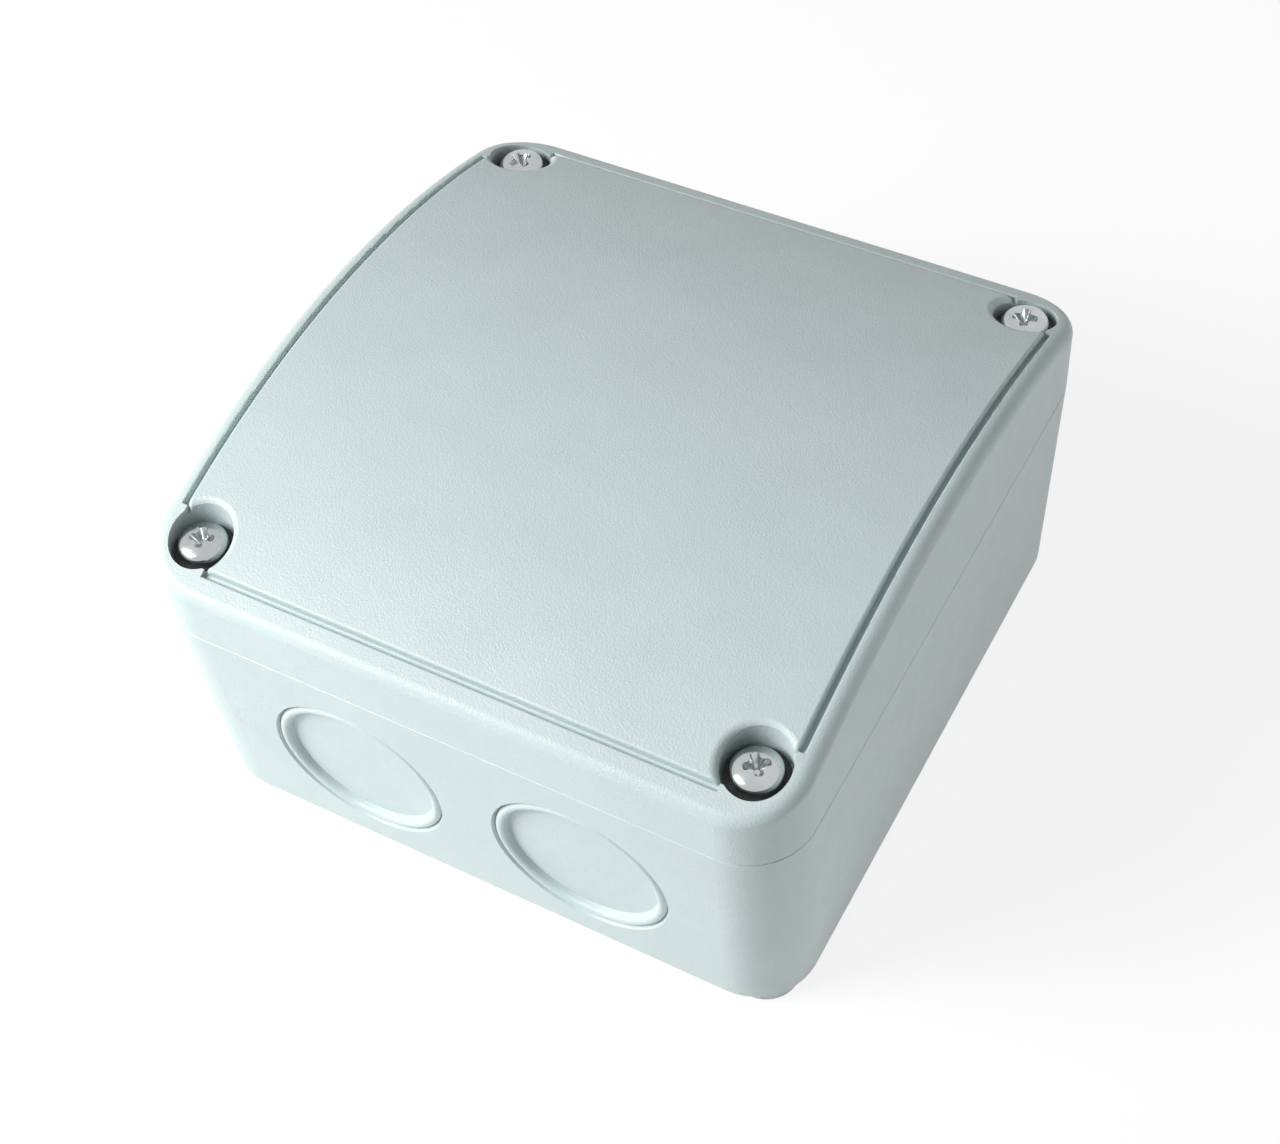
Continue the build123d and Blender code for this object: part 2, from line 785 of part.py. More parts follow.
def fuse_caps():
    """The two metal end caps with the thin fuse wire stretched between them."""
    x, y = on_board(fuse_shares)
    half = fuse_length / 2
    caps = rod_along_x(x - half, x + half, y, fuse_axis_height, fuse_radius)
    inner = half - fuse_cap_end
    caps -= rod_along_x(x - inner, x + inner, y, fuse_axis_height, fuse_glass_radius + seat_gap)
    gap = half - fuse_cap_length
    caps -= rod_along_x(x - gap, x + gap, y, fuse_axis_height, fuse_radius + overrun)
    return caps + rod_along_x(x - half, x + half, y, fuse_axis_height, fuse_wire_radius)


def fuse_glass():
    """The glass tube of the fuse."""
    x, y = on_board(fuse_shares)
    half = fuse_length / 2 - fuse_cap_end - seat_gap
    tube = rod_along_x(x - half, x + half, y, fuse_axis_height, fuse_glass_radius)
    return tube - rod_along_x(
        x - fuse_length, x + fuse_length, y, fuse_axis_height, fuse_glass_radius - fuse_glass_wall)


def disc_part(shares, radius, thickness, rounding, stand, spread):
    """An upright coated disc on two leads."""
    x, y = on_board(shares)
    middle = board_top + stand + radius
    disc = disc_facing_front(x, y, middle, radius, thickness)
    disc = fillet(disc.edges().filter_by(GeomType.CIRCLE), rounding)
    return disc + [lead(x + offset, y, middle) for offset in row(2, spread)]


def bridge_rectifier():
    """A round rectifier on four leads."""
    x, y = on_board(bridge_shares)
    low = board_top + bridge_stand
    body = post(x, y, low, low + bridge_height, bridge_radius)
    body = fillet(body.faces().sort_by(Axis.Z)[-1].edges(), edge_round)
    turns = [2 * math.pi * index / bridge_lead_count for index in range(bridge_lead_count)]
    places = [(x + bridge_lead_circle * math.cos(a), y + bridge_lead_circle * math.sin(a)) for a in turns]
    return body + [lead(lead_x, lead_y, low + overrun) for lead_x, lead_y in places]


def electrolytic(shares, radius, height):
    """A capacitor can with a rolled groove near its foot."""
    x, y = on_board(shares)
    can = post(x, y, board_top, board_top + height, radius)
    can = fillet(can.faces().sort_by(Axis.Z)[-1].edges(), can_round)
    groove_low = board_top + can_groove_rise
    groove = post(x, y, groove_low, groove_low + can_groove_width, radius + overrun)
    can -= groove - post(x, y, groove_low, groove_low + can_groove_width, radius - can_groove_sink)
    return can + [lead(x + offset, y, board_top + overrun) for offset in row(2, radius * 2 * can_lead_share)]


def voltage_regulator():
    """A three-lead regulator standing up, its drilled metal tab at the back."""
    x, y = on_board(regulator_shares)
    low = board_top + regulator_stand
    body = centred_block(x, y, regulator_width, regulator_body_depth, low, low + regulator_body_height)
    tab_y = y + regulator_body_depth / 2
    top = low + regulator_tab_height
    body += block(
        x - regulator_width / 2, x + regulator_width / 2, tab_y - regulator_tab_thickness, tab_y, low, top)
    body -= disc_facing_front(
        x, tab_y, top - regulator_hole_drop, regulator_hole_radius, regulator_body_depth)
    leads = [
        lead(x + offset, y, low + overrun, regulator_lead_radius)
        for offset in row(regulator_lead_count, regulator_lead_spacing)
    ]
    return body + leads


def chip_socket():
    """The socket of the microcontroller: an open frame on two rows of pins."""
    x, y = on_board(chip_shares)
    top = board_top + socket_height
    frame = centred_block(x, y, chip_length, socket_width, board_top, top)
    frame -= centred_block(
        x, y, chip_length - 2 * socket_slot_end, socket_slot_width, board_top - overrun, top + overrun)
    pins = [
        lead(x + offset, y + side * chip_leg_span / 2, board_top + overrun)
        for offset in row(chip_leg_count, chip_leg_spacing)
        for side in (-1, 1)
    ]
    return frame + pins


def microcontroller():
    """The notched chip body with its shouldered legs resting on the socket."""
    x, y = on_board(chip_shares)
    low = board_top + socket_height
    body = centred_block(x, y, chip_length, chip_width, low + chip_stand, low + chip_stand + chip_height)
    top = low + chip_stand + chip_height
    body -= post(x - chip_length / 2, y, top - chip_notch_depth, top + overrun, chip_notch_radius)
    middle = low + chip_stand + chip_height / 2
    for offset in row(chip_leg_count, chip_leg_spacing):
        body += centred_block(
            x + offset, y, chip_leg_width, chip_leg_span, middle, middle + chip_leg_thickness)
        for side in (-1, 1):
            leg_y = y + side * (chip_leg_span - chip_leg_thickness) / 2
            body += centred_block(
                x + offset, leg_y, chip_leg_width, chip_leg_thickness, low, middle + chip_leg_thickness)
    return body


def resonator():
    """The clock resonator: a small coated block on three leads."""
    x, y = on_board(resonator_shares)
    low = board_top + edge_round
    outline = Plane.XY.offset(low) * SlotOverall(resonator_length, resonator_width)
    body = Pos(x, y, 0) * extrude(outline, amount=resonator_height)
    body = fillet(body.faces().sort_by(Axis.Z)[-1].edges(), edge_round)
    return body + [
        lead(x + offset, y, low + overrun, transistor_lead_radius)
        for offset in row(resonator_lead_count, resonator_lead_spacing)
    ]


def radio_board():
    """The radio receiver's small board, standing on edge."""
    x, y = on_board(radio_shares)
    return centred_block(x, y, radio_length, radio_thickness, board_top, board_top + radio_height)


def radio_header():
    """The pin strip that joins the radio board to the main board."""
    x, back = on_board(radio_shares)
    y = back - radio_thickness / 2 - header_depth / 2
    strip = centred_block(x, y, header_pin_count * header_pin_spacing, header_depth, board_top, board_top + header_height)
    return strip + [
        lead(x + offset, y, board_top + header_height + header_pin_rise)
        for offset in row(header_pin_count, header_pin_spacing)
    ]


def radio_can():
    """The metal can of the radio's filter, on the front of its board."""
    x, back = on_board(radio_shares)
    front = back - radio_thickness / 2
    top = board_top + radio_height - edge_round
    can = block(
        x - radio_can_offset - radio_can_length / 2, x - radio_can_offset + radio_can_length / 2,
        front - radio_can_depth, front, top - radio_can_height, top)
    return fillet(can.edges().filter_by(Axis.Z) + can.faces().sort_by(Axis.Y)[0].edges(), edge_round)


def radio_parts():
    """The radio's chip and tuning coil, on the front of its board."""
    x, back = on_board(radio_shares)
    front = back - radio_thickness / 2
    rise = board_top + header_height + radio_part_rise
    chip = centred_block(
        x + radio_part_offset, front - radio_chip_depth / 2, radio_chip_size, radio_chip_depth,
        rise - radio_chip_size / 2 + edge_round, rise + radio_chip_size / 2)
    coil_x = x + radio_part_offset + radio_chip_size / 2 + radio_coil_radius + edge_round
    coil = disc_facing_front(coil_x, front - radio_coil_depth / 2, rise, radio_coil_radius, radio_coil_depth)
    return [chip, coil]


def aerial():
    """The aerial: one wire, up from the board through a bend and round its turns."""
    x, y = on_board(aerial_shares)
    climb = aerial_turn_rise / (2 * math.pi)
    flat = aerial_coil_radius / math.hypot(aerial_coil_radius, climb)
    rise = climb / math.hypot(aerial_coil_radius, climb)
    start = board_top + aerial_lift + aerial_bend_radius * flat

    def at(turn):
        """The point and the direction of the winding after a number of turns."""
        angle = 2 * math.pi * turn
        point = Vector(
            x + aerial_coil_radius * math.cos(angle), y + aerial_coil_radius * math.sin(angle),
            start + aerial_turn_rise * turn)
        return point, Vector(-math.sin(angle) * flat, math.cos(angle) * flat, rise)

    first, heading = at(0)
    bend = first - Vector(0, aerial_bend_radius * (1 - rise), aerial_bend_radius * flat)
    foot = Vector(bend.X, bend.Y, board_bottom - lead_tail)
    edges = [Edge.make_line(foot, bend), Edge.make_tangent_arc(bend, Vector(0, 0, 1), first)]
    quarters = [turn + part / 4 for turn in range(aerial_turn_count) for part in range(4)] + [aerial_turn_count]
    for here, there in zip(quarters, quarters[1:]):
        edges += two_arcs(*at(here), *at(there))
    end, heading = at(aerial_turn_count)
    edges.append(Edge.make_line(end, end + heading * (2 * aerial_wire_radius)))
    drilled.append((foot.X, foot.Y, aerial_wire_radius + lead_gap))
    samples = [at(index / aerial_sample_count)[0] for index in range(aerial_sample_count * aerial_turn_count + 1)]
    nearest = min(
        (a - b).length
        for index, a in enumerate(samples)
        for b in samples[index + aerial_sample_count // 2:])
    print(f"aerial: least gap between its turns {nearest - 2 * aerial_wire_radius:.2f} mm")
    wire = Wire(edges)
    section = Plane(origin=foot, z_dir=(0, 0, 1)) * Circle(aerial_wire_radius)
    return sweep(section, path=wire)


def two_arcs(start, start_heading, end, end_heading):
    """Two arcs, tangent to each other and to both headings, from one point to another."""
    chord = end - start
    both = start_heading + end_heading
    a = 2 * start_heading.dot(end_heading) - 2
    b = -2 * chord.dot(both)
    c = chord.dot(chord)
    reach = (-b - math.sqrt(b * b - 4 * a * c)) / (2 * a)
    before = start + start_heading * reach
    after = end - end_heading * reach
    join = (before + after) * (1 / 2)
    first = Edge.make_tangent_arc(start, start_heading, join)
    second = Edge.make_tangent_arc(join, (after - before).normalized(), end)
    return [first, second]


def button_housing(x, y):
    """The body of a push button, with a stepped well for its plunger."""
    top = board_top + button_body_height
    body = centred_block(x, y, button_size, button_size, board_top, top)
    well_low = top - button_flange_height - button_travel - button_well_gap
    body -= post(x, y, well_low, top + overrun, button_flange_radius + button_side_gap)
    return body + [
        lead(x + a * button_lead_x, y + b * button_lead_y, board_top + overrun)
        for a in (-1, 1)
        for b in (-1, 1)
    ]


def button_plate(x, y):
    """The metal cover plate of a push button."""
    low = board_top + button_body_height
    plate = centred_block(x, y, button_size, button_size, low, low + button_plate_thickness)
    return plate - post(x, y, low - overrun, low + overrun, button_plunger_radius + button_side_gap)


def button_plunger(x, y):
    """The plunger of a push button, held in by its flange."""
    flange_top = board_top + button_body_height - seat_gap
    top = board_top + button_body_height + button_plate_thickness + button_plunger_rise
    plunger = post(x, y, flange_top - button_flange_height, top, button_plunger_radius)
    plunger = fillet(plunger.faces().sort_by(Axis.Z)[-1].edges(), edge_round)
    return plunger + post(x, y, flange_top - button_flange_height, flange_top, button_flange_radius)


def status_lamp(x, y):
    """A small round lamp with a domed top and a flange."""
    outline = [
        Line((0, 0), (lamp_flange_radius, 0)),
        Line((lamp_flange_radius, 0), (lamp_flange_radius, lamp_flange_height)),
        Line((lamp_flange_radius, lamp_flange_height), (lamp_radius, lamp_flange_height)),
        Line((lamp_radius, lamp_flange_height), (lamp_radius, lamp_height - lamp_radius)),
        TangentArc((0, lamp_height), (lamp_radius, lamp_height - lamp_radius), tangent=(1, 0)),
        Line((0, lamp_height), (0, 0)),
    ]
    lamp = Pos(x, y, board_top) * turned(outline)
    return lamp + [lead(x + offset, y, board_top + overrun / 2) for offset in row(2, lamp_lead_spacing)]


def jumper_places():
    """The places of the jumper's pins."""
    x, y = on_board(jumper_shares)
    return [(x + offset, y) for offset in row(jumper_pin_count, header_pin_spacing)]


def jumper_header():
    """The plastic strip that the jumper's pins stand in."""
    x, y = on_board(jumper_shares)
    strip = centred_block(
        x, y, jumper_pin_count * header_pin_spacing, jumper_base_depth, board_top, board_top + jumper_base_height)
    return strip - [
        post(pin_x, pin_y, board_top - overrun, board_top + jumper_base_height + overrun,
             jumper_pin_radius + seat_gap)
        for pin_x, pin_y in jumper_places()
    ]


def jumper_cap():
    """The pull-off cap that bridges the first two pins."""
    places = jumper_places()[:2]
    x = (places[0][0] + places[1][0]) / 2
    y = places[0][1]
    low = board_top + jumper_base_height + jumper_cap_lift
    cap = centred_block(
        x, y, 2 * header_pin_spacing - jumper_cap_lift, jumper_cap_depth, low, low + jumper_cap_height)
    cap = fillet(cap.edges().filter_by(Axis.Z), edge_round)
    return cap - [
        post(pin_x, pin_y, low - overrun, low + jumper_cap_height - jumper_cap_top,
             jumper_pin_radius + running_gap)
        for pin_x, pin_y in places
    ]


def transistor(x, y):
    """A small transistor: a round body with a flat front, on three leads."""
    low = board_top + transistor_stand
    body = post(x, y, low, low + transistor_height, transistor_radius)
    body -= block(
        x - 2 * transistor_radius, x + 2 * transistor_radius, y - 2 * transistor_radius, y - transistor_flat,
        low - overrun, low + transistor_height + overrun)
    leads = [
        lead(x + offset, y, low + overrun, transistor_lead_radius)
        for offset in row(transistor_lead_count, transistor_lead_spacing)
    ]
    return body + leads


def axial_part(shares, radius, length):
    """A part that lies on the board between two bent leads."""
    x, y = on_board(shares)
    z = board_top + axial_stand + radius
    body = rod_along_x(x - length / 2, x + length / 2, y, z, radius)
    body = fillet(body.edges().filter_by(GeomType.CIRCLE), edge_round)
    reach = length / 2 + axial_lead_reach
    body += rod_along_x(x - reach, x + reach, y, z, lead_radius)
    for side in (-1, 1):
        body += lead(x + side * reach, y, z)
        body += Pos(x + side * reach, y, z) * Sphere(lead_radius)
    return body


def main():
    """Build every node. The board comes last, once all its holes are known."""
    os.makedirs("parts", exist_ok=True)
    save("base", base())
    save("lid", lid())
    save("lid_seal", lid_seal())
    save("brass_inserts", *[brass_insert(x, y) for x, y in corners.values()])
    for corner, (x, y) in corners.items():
        save(f"lid_screw_{corner}", Pos(x, y, screw_seat) * lid_screw())
        save(f"screw_washer_{corner}", screw_washer(x, y))
    save("board_screws", *[Pos(x, y, board_top + seat_gap) * board_screw() for x, y in standoff_places()])

    power = pole_places(power_start_share, power_pole_count)
    outputs = pole_places(output_start_share, output_pole_count)
    save("power_terminal_block", terminal_housing(power))
    save("output_terminal_block", terminal_housing(outputs))
    save("terminal_contacts", *[terminal_contact(x) for x in power + outputs])
    names = [f"power_{index + 1}" for index in range(power_pole_count)]
    names += [f"output_{index + 1}" for index in range(output_pole_count)]
    for name, x in zip(names, power + outputs):
        save(f"terminal_screw_{name}", terminal_screw(x))
        save(f"terminal_cage_{name}", terminal_cage(x))

    relay_places = [on_board(shares) for shares in relay_shares]
    for index, (x, y) in enumerate(relay_places):
        save(f"relay_{index + 1}", relay(x, y))
    save("relay_pins", *[pin for x, y in relay_places for pin in relay_pins(x, y)])
    save("fuse_clips", fuse_clip(-1), fuse_clip(1))
    save("fuse_caps", fuse_caps())
    save("fuse_glass", fuse_glass())
    save("surge_varistor", disc_part(
        varistor_shares, varistor_radius, varistor_thickness, edge_round, varistor_stand,
        varistor_lead_spread))
    save("bridge_rectifier", bridge_rectifier())
    save("supply_capacitor", electrolytic(supply_can_shares, supply_can_radius, supply_can_height))
    save("logic_capacitor", electrolytic(logic_can_shares, logic_can_radius, logic_can_height))
    save("voltage_regulator", voltage_regulator())
    save("chip_socket", chip_socket())
    save("microcontroller", microcontroller())
    save("clock_resonator", resonator())
    save("radio_board", radio_board())
    save("radio_header", radio_header())
    save("radio_can", radio_can())
    save("radio_parts", *radio_parts())
    save("aerial", aerial())

    button_places = [on_board(shares) for shares in button_shares]
    save("button_housings", *[button_housing(x, y) for x, y in button_places])
    save("button_plates", *[button_plate(x, y) for x, y in button_places])
    for index, (x, y) in enumerate(button_places):
        save(f"learn_button_{index + 1}", button_plunger(x, y))
    save("status_lamps", *[status_lamp(*on_board(shares)) for shares in lamp_shares])
    save("jumper_header", jumper_header())
    save("jumper_pins", *[
        lead(x, y, board_top + jumper_pin_height, jumper_pin_radius) for x, y in jumper_places()])
    save("jumper_cap", jumper_cap())
    save("transistors", *[transistor(*on_board(shares)) for shares in transistor_shares])
    save("diodes", *[axial_part(shares, diode_radius, diode_length) for shares in diode_shares])
    save("resistors", *[axial_part(shares, resistor_radius, resistor_length) for shares in resistor_shares])
    save("ceramic_capacitors", *[
        disc_part(shares, disc_radius, disc_thickness, disc_round, disc_stand, disc_lead_spread)
        for shares in disc_shares])
    save("circuit_board", circuit_board())


if __name__ == "__main__":
    main()
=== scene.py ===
import math

import bmesh
import bpy
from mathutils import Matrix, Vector


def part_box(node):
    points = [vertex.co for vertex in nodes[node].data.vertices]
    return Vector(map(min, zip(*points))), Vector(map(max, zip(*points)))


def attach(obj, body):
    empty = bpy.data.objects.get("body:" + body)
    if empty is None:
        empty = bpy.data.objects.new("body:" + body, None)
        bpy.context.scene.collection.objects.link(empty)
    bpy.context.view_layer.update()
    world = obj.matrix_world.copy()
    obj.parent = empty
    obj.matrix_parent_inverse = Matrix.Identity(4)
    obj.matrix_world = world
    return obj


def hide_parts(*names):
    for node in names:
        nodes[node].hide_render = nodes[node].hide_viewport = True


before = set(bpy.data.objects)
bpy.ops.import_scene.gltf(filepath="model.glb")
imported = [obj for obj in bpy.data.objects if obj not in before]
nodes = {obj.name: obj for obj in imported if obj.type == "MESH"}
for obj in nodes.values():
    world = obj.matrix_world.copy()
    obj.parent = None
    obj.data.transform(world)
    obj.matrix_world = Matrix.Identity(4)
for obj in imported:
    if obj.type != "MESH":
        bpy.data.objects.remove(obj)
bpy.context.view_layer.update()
bpy.ops.object.select_all(action="DESELECT")

# Base of the case: a square tub that lies against the wall, with two cable knockouts in its
# front wall. It is moulded of light grey plastic whose outside has a fine, matt grain.
def new_finish(name):
    material = bpy.data.materials.new(name)
    material.use_nodes = True
    shader = material.node_tree.nodes["Principled BSDF"]
    place = material.node_tree.nodes.new("ShaderNodeTexCoord")
    return material, material.node_tree, shader, place.outputs["Object"]


def noise_of(tree, place, scale, detail=2.0):
    noise = tree.nodes.new("ShaderNodeTexNoise")
    noise.inputs["Scale"].default_value = scale
    noise.inputs["Detail"].default_value = detail
    tree.links.new(place, noise.inputs["Vector"])
    return noise.outputs["Fac"]


def spread(tree, value, low, high, start=0.3, end=0.7):
    reach = tree.nodes.new("ShaderNodeMapRange")
    reach.inputs["From Min"].default_value = start
    reach.inputs["From Max"].default_value = end
    reach.inputs["To Min"].default_value = low
    reach.inputs["To Max"].default_value = high
    tree.links.new(value, reach.inputs["Value"])
    return reach.outputs["Result"]


def between(tree, share, first, second):
    mix = tree.nodes.new("ShaderNodeMix")
    mix.data_type = "RGBA"
    for socket, colour in (("A", first), ("B", second)):
        target = next(s for s in mix.inputs if s.name == socket and s.type == "RGBA")
        if isinstance(colour, tuple):
            target.default_value = (*colour, 1.0)
        else:
            tree.links.new(colour, target)
    tree.links.new(share, mix.inputs["Factor"])
    return next(s for s in mix.outputs if s.type == "RGBA")


def combined(tree, operation, *values):
    step = tree.nodes.new("ShaderNodeMath")
    step.operation = operation
    for socket, value in zip(step.inputs, values):
        if isinstance(value, float):
            socket.default_value = value
        else:
            tree.links.new(value, socket)
    return step.outputs["Value"]


def uneven_shine(tree, shader, place, scale, low, high):
    rough = spread(tree, noise_of(tree, place, scale), low, high)
    tree.links.new(rough, shader.inputs["Roughness"])


def relief(tree, shader, height, distance, strength=0.5):
    bump = tree.nodes.new("ShaderNodeBump")
    bump.inputs["Strength"].default_value = strength
    bump.inputs["Distance"].default_value = distance
    tree.links.new(height, bump.inputs["Height"])
    tree.links.new(bump.outputs["Normal"], shader.inputs["Normal"])


def grained_plastic(name, colour, roughness, grain, depth, mottle):
    material, tree, shader, place = new_finish(name)
    darker = tuple(c * (1.0 - mottle) for c in colour)
    cloud = spread(tree, noise_of(tree, place, scale=90.0, detail=3.0), low=0.0, high=0.6)
    speckle = spread(tree, noise_of(tree, place, grain, detail=1.0), low=0.0, high=0.4)
    tone = combined(tree, "ADD", cloud, speckle)
    tree.links.new(between(tree, tone, darker, colour), shader.inputs["Base Color"])
    uneven_shine(tree, shader, place, scale=400.0, low=roughness - 0.05, high=roughness + 0.05)
    relief(tree, shader, noise_of(tree, place, grain, detail=3.0), depth)
    return material


def dress(names, material):
    for name in names:
        for held in nodes[name].material_slots:
            held.material = material


case_plastic = grained_plastic(
    "case_plastic_grained", (0.585, 0.69, 0.684), roughness=0.42, grain=3600.0, depth=0.00014, mottle=0.07)
dress(["base"], case_plastic)

# Brass inserts: a flanged, turned sleeve pressed into each corner post, with the thread that a
# lid screw goes into. The turning leaves fine rings and a soft shine.


def worked_metal(name, colour, roughness, stretch=(1.0, 1.0, 1.0), grain=2500.0, depth=0.000004):
    material, tree, shader, place = new_finish(name)
    shader.inputs["Metallic"].default_value = 1.0
    drawn = tree.nodes.new("ShaderNodeMapping")
    drawn.inputs["Scale"].default_value = stretch
    tree.links.new(place, drawn.inputs["Vector"])
    along = drawn.outputs["Vector"]
    dulled = 0.82
    darker = tuple(c * dulled for c in colour)
    tone = spread(tree, noise_of(tree, along, scale=260.0, detail=4.0), low=0.0, high=1.0)
    tree.links.new(between(tree, tone, darker, colour), shader.inputs["Base Color"])
    uneven_shine(tree, shader, along, scale=700.0, low=roughness - 0.07, high=roughness + 0.07)
    relief(tree, shader, noise_of(tree, along, grain), depth)
    return material


insert_brass = worked_metal(
    "insert_brass_turned", (0.70, 0.50, 0.22), roughness=0.32, stretch=(1.0, 1.0, 8.0))
dress(["brass_inserts"], insert_brass)

# Circuit board: a glass-fibre laminate plate with copper tracks under green solder mask. Its
# cut edges show the pale laminate, and thin white print frames the places of the parts.
board_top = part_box("circuit_board")[1][2]
board_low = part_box("circuit_board")[0][2]
mask_over_laminate = (0.010, 0.115, 0.045)
mask_over_copper = (0.028, 0.205, 0.085)
laminate_dark = (0.36, 0.33, 0.15)
laminate_pale = (0.50, 0.47, 0.26)
millimetres_per_metre = 1000.0


def track_lines(tree, place, turn, row, length):
    turned = tree.nodes.new("ShaderNodeMapping")
    turned.inputs["Rotation"].default_value = (0.0, 0.0, turn)
    tree.links.new(place, turned.inputs["Vector"])
    lines = tree.nodes.new("ShaderNodeTexBrick")
    lines.inputs["Scale"].default_value = millimetres_per_metre
    lines.inputs["Row Height"].default_value = row
    lines.inputs["Brick Width"].default_value = length
    lines.inputs["Mortar Size"].default_value = 0.28
    lines.inputs["Mortar Smooth"].default_value = 0.1
    tree.links.new(turned.outputs["Vector"], lines.inputs["Vector"])
    return lines.outputs["Fac"]


def masked_laminate(name, face_axis="Z", turn=0.0):
    material, tree, shader, place = new_finish(name)
    laid = tree.nodes.new("ShaderNodeMapping")
    laid.inputs["Rotation"].default_value = (turn, 0.0, 0.0)
    tree.links.new(place, laid.inputs["Vector"])
    place = laid.outputs["Vector"]
    lengthways = track_lines(tree, place, turn=0.0, row=2.54, length=14.0)
    crossways = track_lines(tree, place, turn=math.pi / 2, row=3.81, length=17.0)
    patches = noise_of(tree, place, scale=70.0, detail=0.0)
    region = spread(tree, patches, low=0.0, high=1.0, start=0.49, end=0.5)
    tracks = between(tree, region, lengthways, crossways)
    face = between(tree, tracks, mask_over_laminate, mask_over_copper)
    upright = tree.nodes.new("ShaderNodeSeparateXYZ")
    normal = next(n for n in tree.nodes if n.type == "TEX_COORD").outputs["Normal"]
    tree.links.new(normal, upright.inputs["Vector"])
    flat = combined(tree, "ABSOLUTE", upright.outputs[face_axis])
    on_face = spread(tree, flat, low=0.0, high=1.0, start=0.4, end=0.6)
    weave = spread(tree, noise_of(tree, place, scale=1800.0), low=0.0, high=1.0)
    cut_edge = between(tree, weave, laminate_dark, laminate_pale)
    tree.links.new(between(tree, on_face, cut_edge, face), shader.inputs["Base Color"])
    uneven_shine(tree, shader, place, scale=500.0, low=0.24, high=0.36)
    relief(tree, shader, tracks, distance=0.00003, strength=0.6)
    return material


board_laminate = masked_laminate("board_laminate_masked")
dress(["circuit_board"], board_laminate)


def settle(piece, name, material, body, slot, *stands_for):
    piece.name = name
    piece.data.name = name
    bpy.ops.object.select_all(action="DESELECT")
    piece.select_set(True)
    bpy.context.view_layer.objects.active = piece
    bpy.ops.object.transform_apply(location=True, rotation=True, scale=True)
    if material:
        piece.data.materials.clear()
        piece.data.materials.append(material)
    piece.select_set(False)
    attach(piece, body)
    if stands_for:
        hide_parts(*stands_for)


def joined(pieces):
    bpy.ops.object.select_all(action="DESELECT")
    for piece in pieces:
        piece.select_set(True)
    bpy.context.view_layer.objects.active = pieces[0]
    bpy.ops.object.join()
    return pieces[0]


def middle_of(low, high):
    return (low[0] + high[0]) / 2, (low[1] + high[1]) / 2


print_line = 0.0002
print_gap = 0.0004
print_lift = 0.00001
print_thickness = 0.00002


def printed_frame(low, high):
    bpy.ops.mesh.primitive_plane_add(
        size=1.0, location=(*middle_of(low, high), board_top + print_lift))
    frame_line = bpy.context.object
    frame_line.scale = (high[0] - low[0] + 2 * print_gap, high[1] - low[1] + 2 * print_gap, 1.0)
    bpy.ops.object.transform_apply(location=False, rotation=False, scale=True)
    bpy.ops.object.mode_set(mode="EDIT")
    bpy.ops.mesh.select_all(action="SELECT")
    bpy.ops.mesh.inset(thickness=print_line)
    bpy.ops.mesh.delete(type="FACE")
    bpy.ops.mesh.select_all(action="SELECT")
    bpy.ops.mesh.extrude_region_move(TRANSFORM_OT_translate={"value": (0.0, 0.0, print_thickness)})
    bpy.ops.object.mode_set(mode="OBJECT")
    return frame_line


framed = [
    "power_terminal_block", "output_terminal_block", "relay_1", "relay_2", "fuse_clips",
    "surge_varistor", "bridge_rectifier", "supply_capacitor", "logic_capacitor", "voltage_regulator",
    "chip_socket", "clock_resonator", "radio_header", "jumper_header"]
board_print = grained_plastic(
    "board_print_white", (0.78, 0.79, 0.76), roughness=0.5, grain=2500.0, depth=0.000005, mottle=0.12)
print_lines = [printed_frame(*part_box(node)) for node in framed]
settle(joined(print_lines), "board_print", board_print, "base", "board_laminate")

# Solder joints: a bright fillet of tin round each lead on the board's underside, over a tinned
# pad, and a smaller pad on top. Each is drawn out by the lead as the solder sets.
tip_reach = 0.0011
lead_span = 0.0011
leaded = [
    "terminal_contacts", "relay_pins", "fuse_clips", "surge_varistor", "bridge_rectifier",
    "supply_capacitor", "logic_capacitor", "voltage_regulator", "chip_socket", "clock_resonator",
    "radio_header", "aerial", "button_housings", "status_lamps", "jumper_pins", "transistors", "diodes",
    "resistors", "ceramic_capacitors"]


def lead_feet(node):
    tips = [v.co for v in nodes[node].data.vertices if v.co.z < board_low - tip_reach]
    feet = []
    while tips:
        near = [tip for tip in tips if (tip.xy - tips[0].xy).length < lead_span]
        feet.append(sum((tip.xy for tip in near), Vector((0.0, 0.0))) / len(near))
        tips = [tip for tip in tips if (tip.xy - near[0].xy).length >= lead_span]
    return feet


def copy_of(piece):
    copy = piece.copy()
    copy.data = piece.data.copy()
    bpy.context.scene.collection.objects.link(copy)
    return copy


def solder_form(radius, height, rises_and_shares):
    bpy.ops.object.select_all(action="DESELECT")
    bpy.ops.mesh.primitive_circle_add(
        vertices=14, radius=radius, fill_type="NGON", location=(0.0, 0.0, height))
    bpy.ops.object.mode_set(mode="EDIT")
    bpy.ops.mesh.select_all(action="SELECT")
    for rise, share in rises_and_shares:
        bpy.ops.mesh.extrude_region_move(TRANSFORM_OT_translate={"value": (0.0, 0.0, rise)})
        bpy.ops.transform.resize(value=(share, share, 1.0))
    bpy.ops.mesh.select_all(action="SELECT")
    bpy.ops.mesh.normals_make_consistent(inside=False)
    bpy.ops.object.mode_set(mode="OBJECT")
    return bpy.context.object


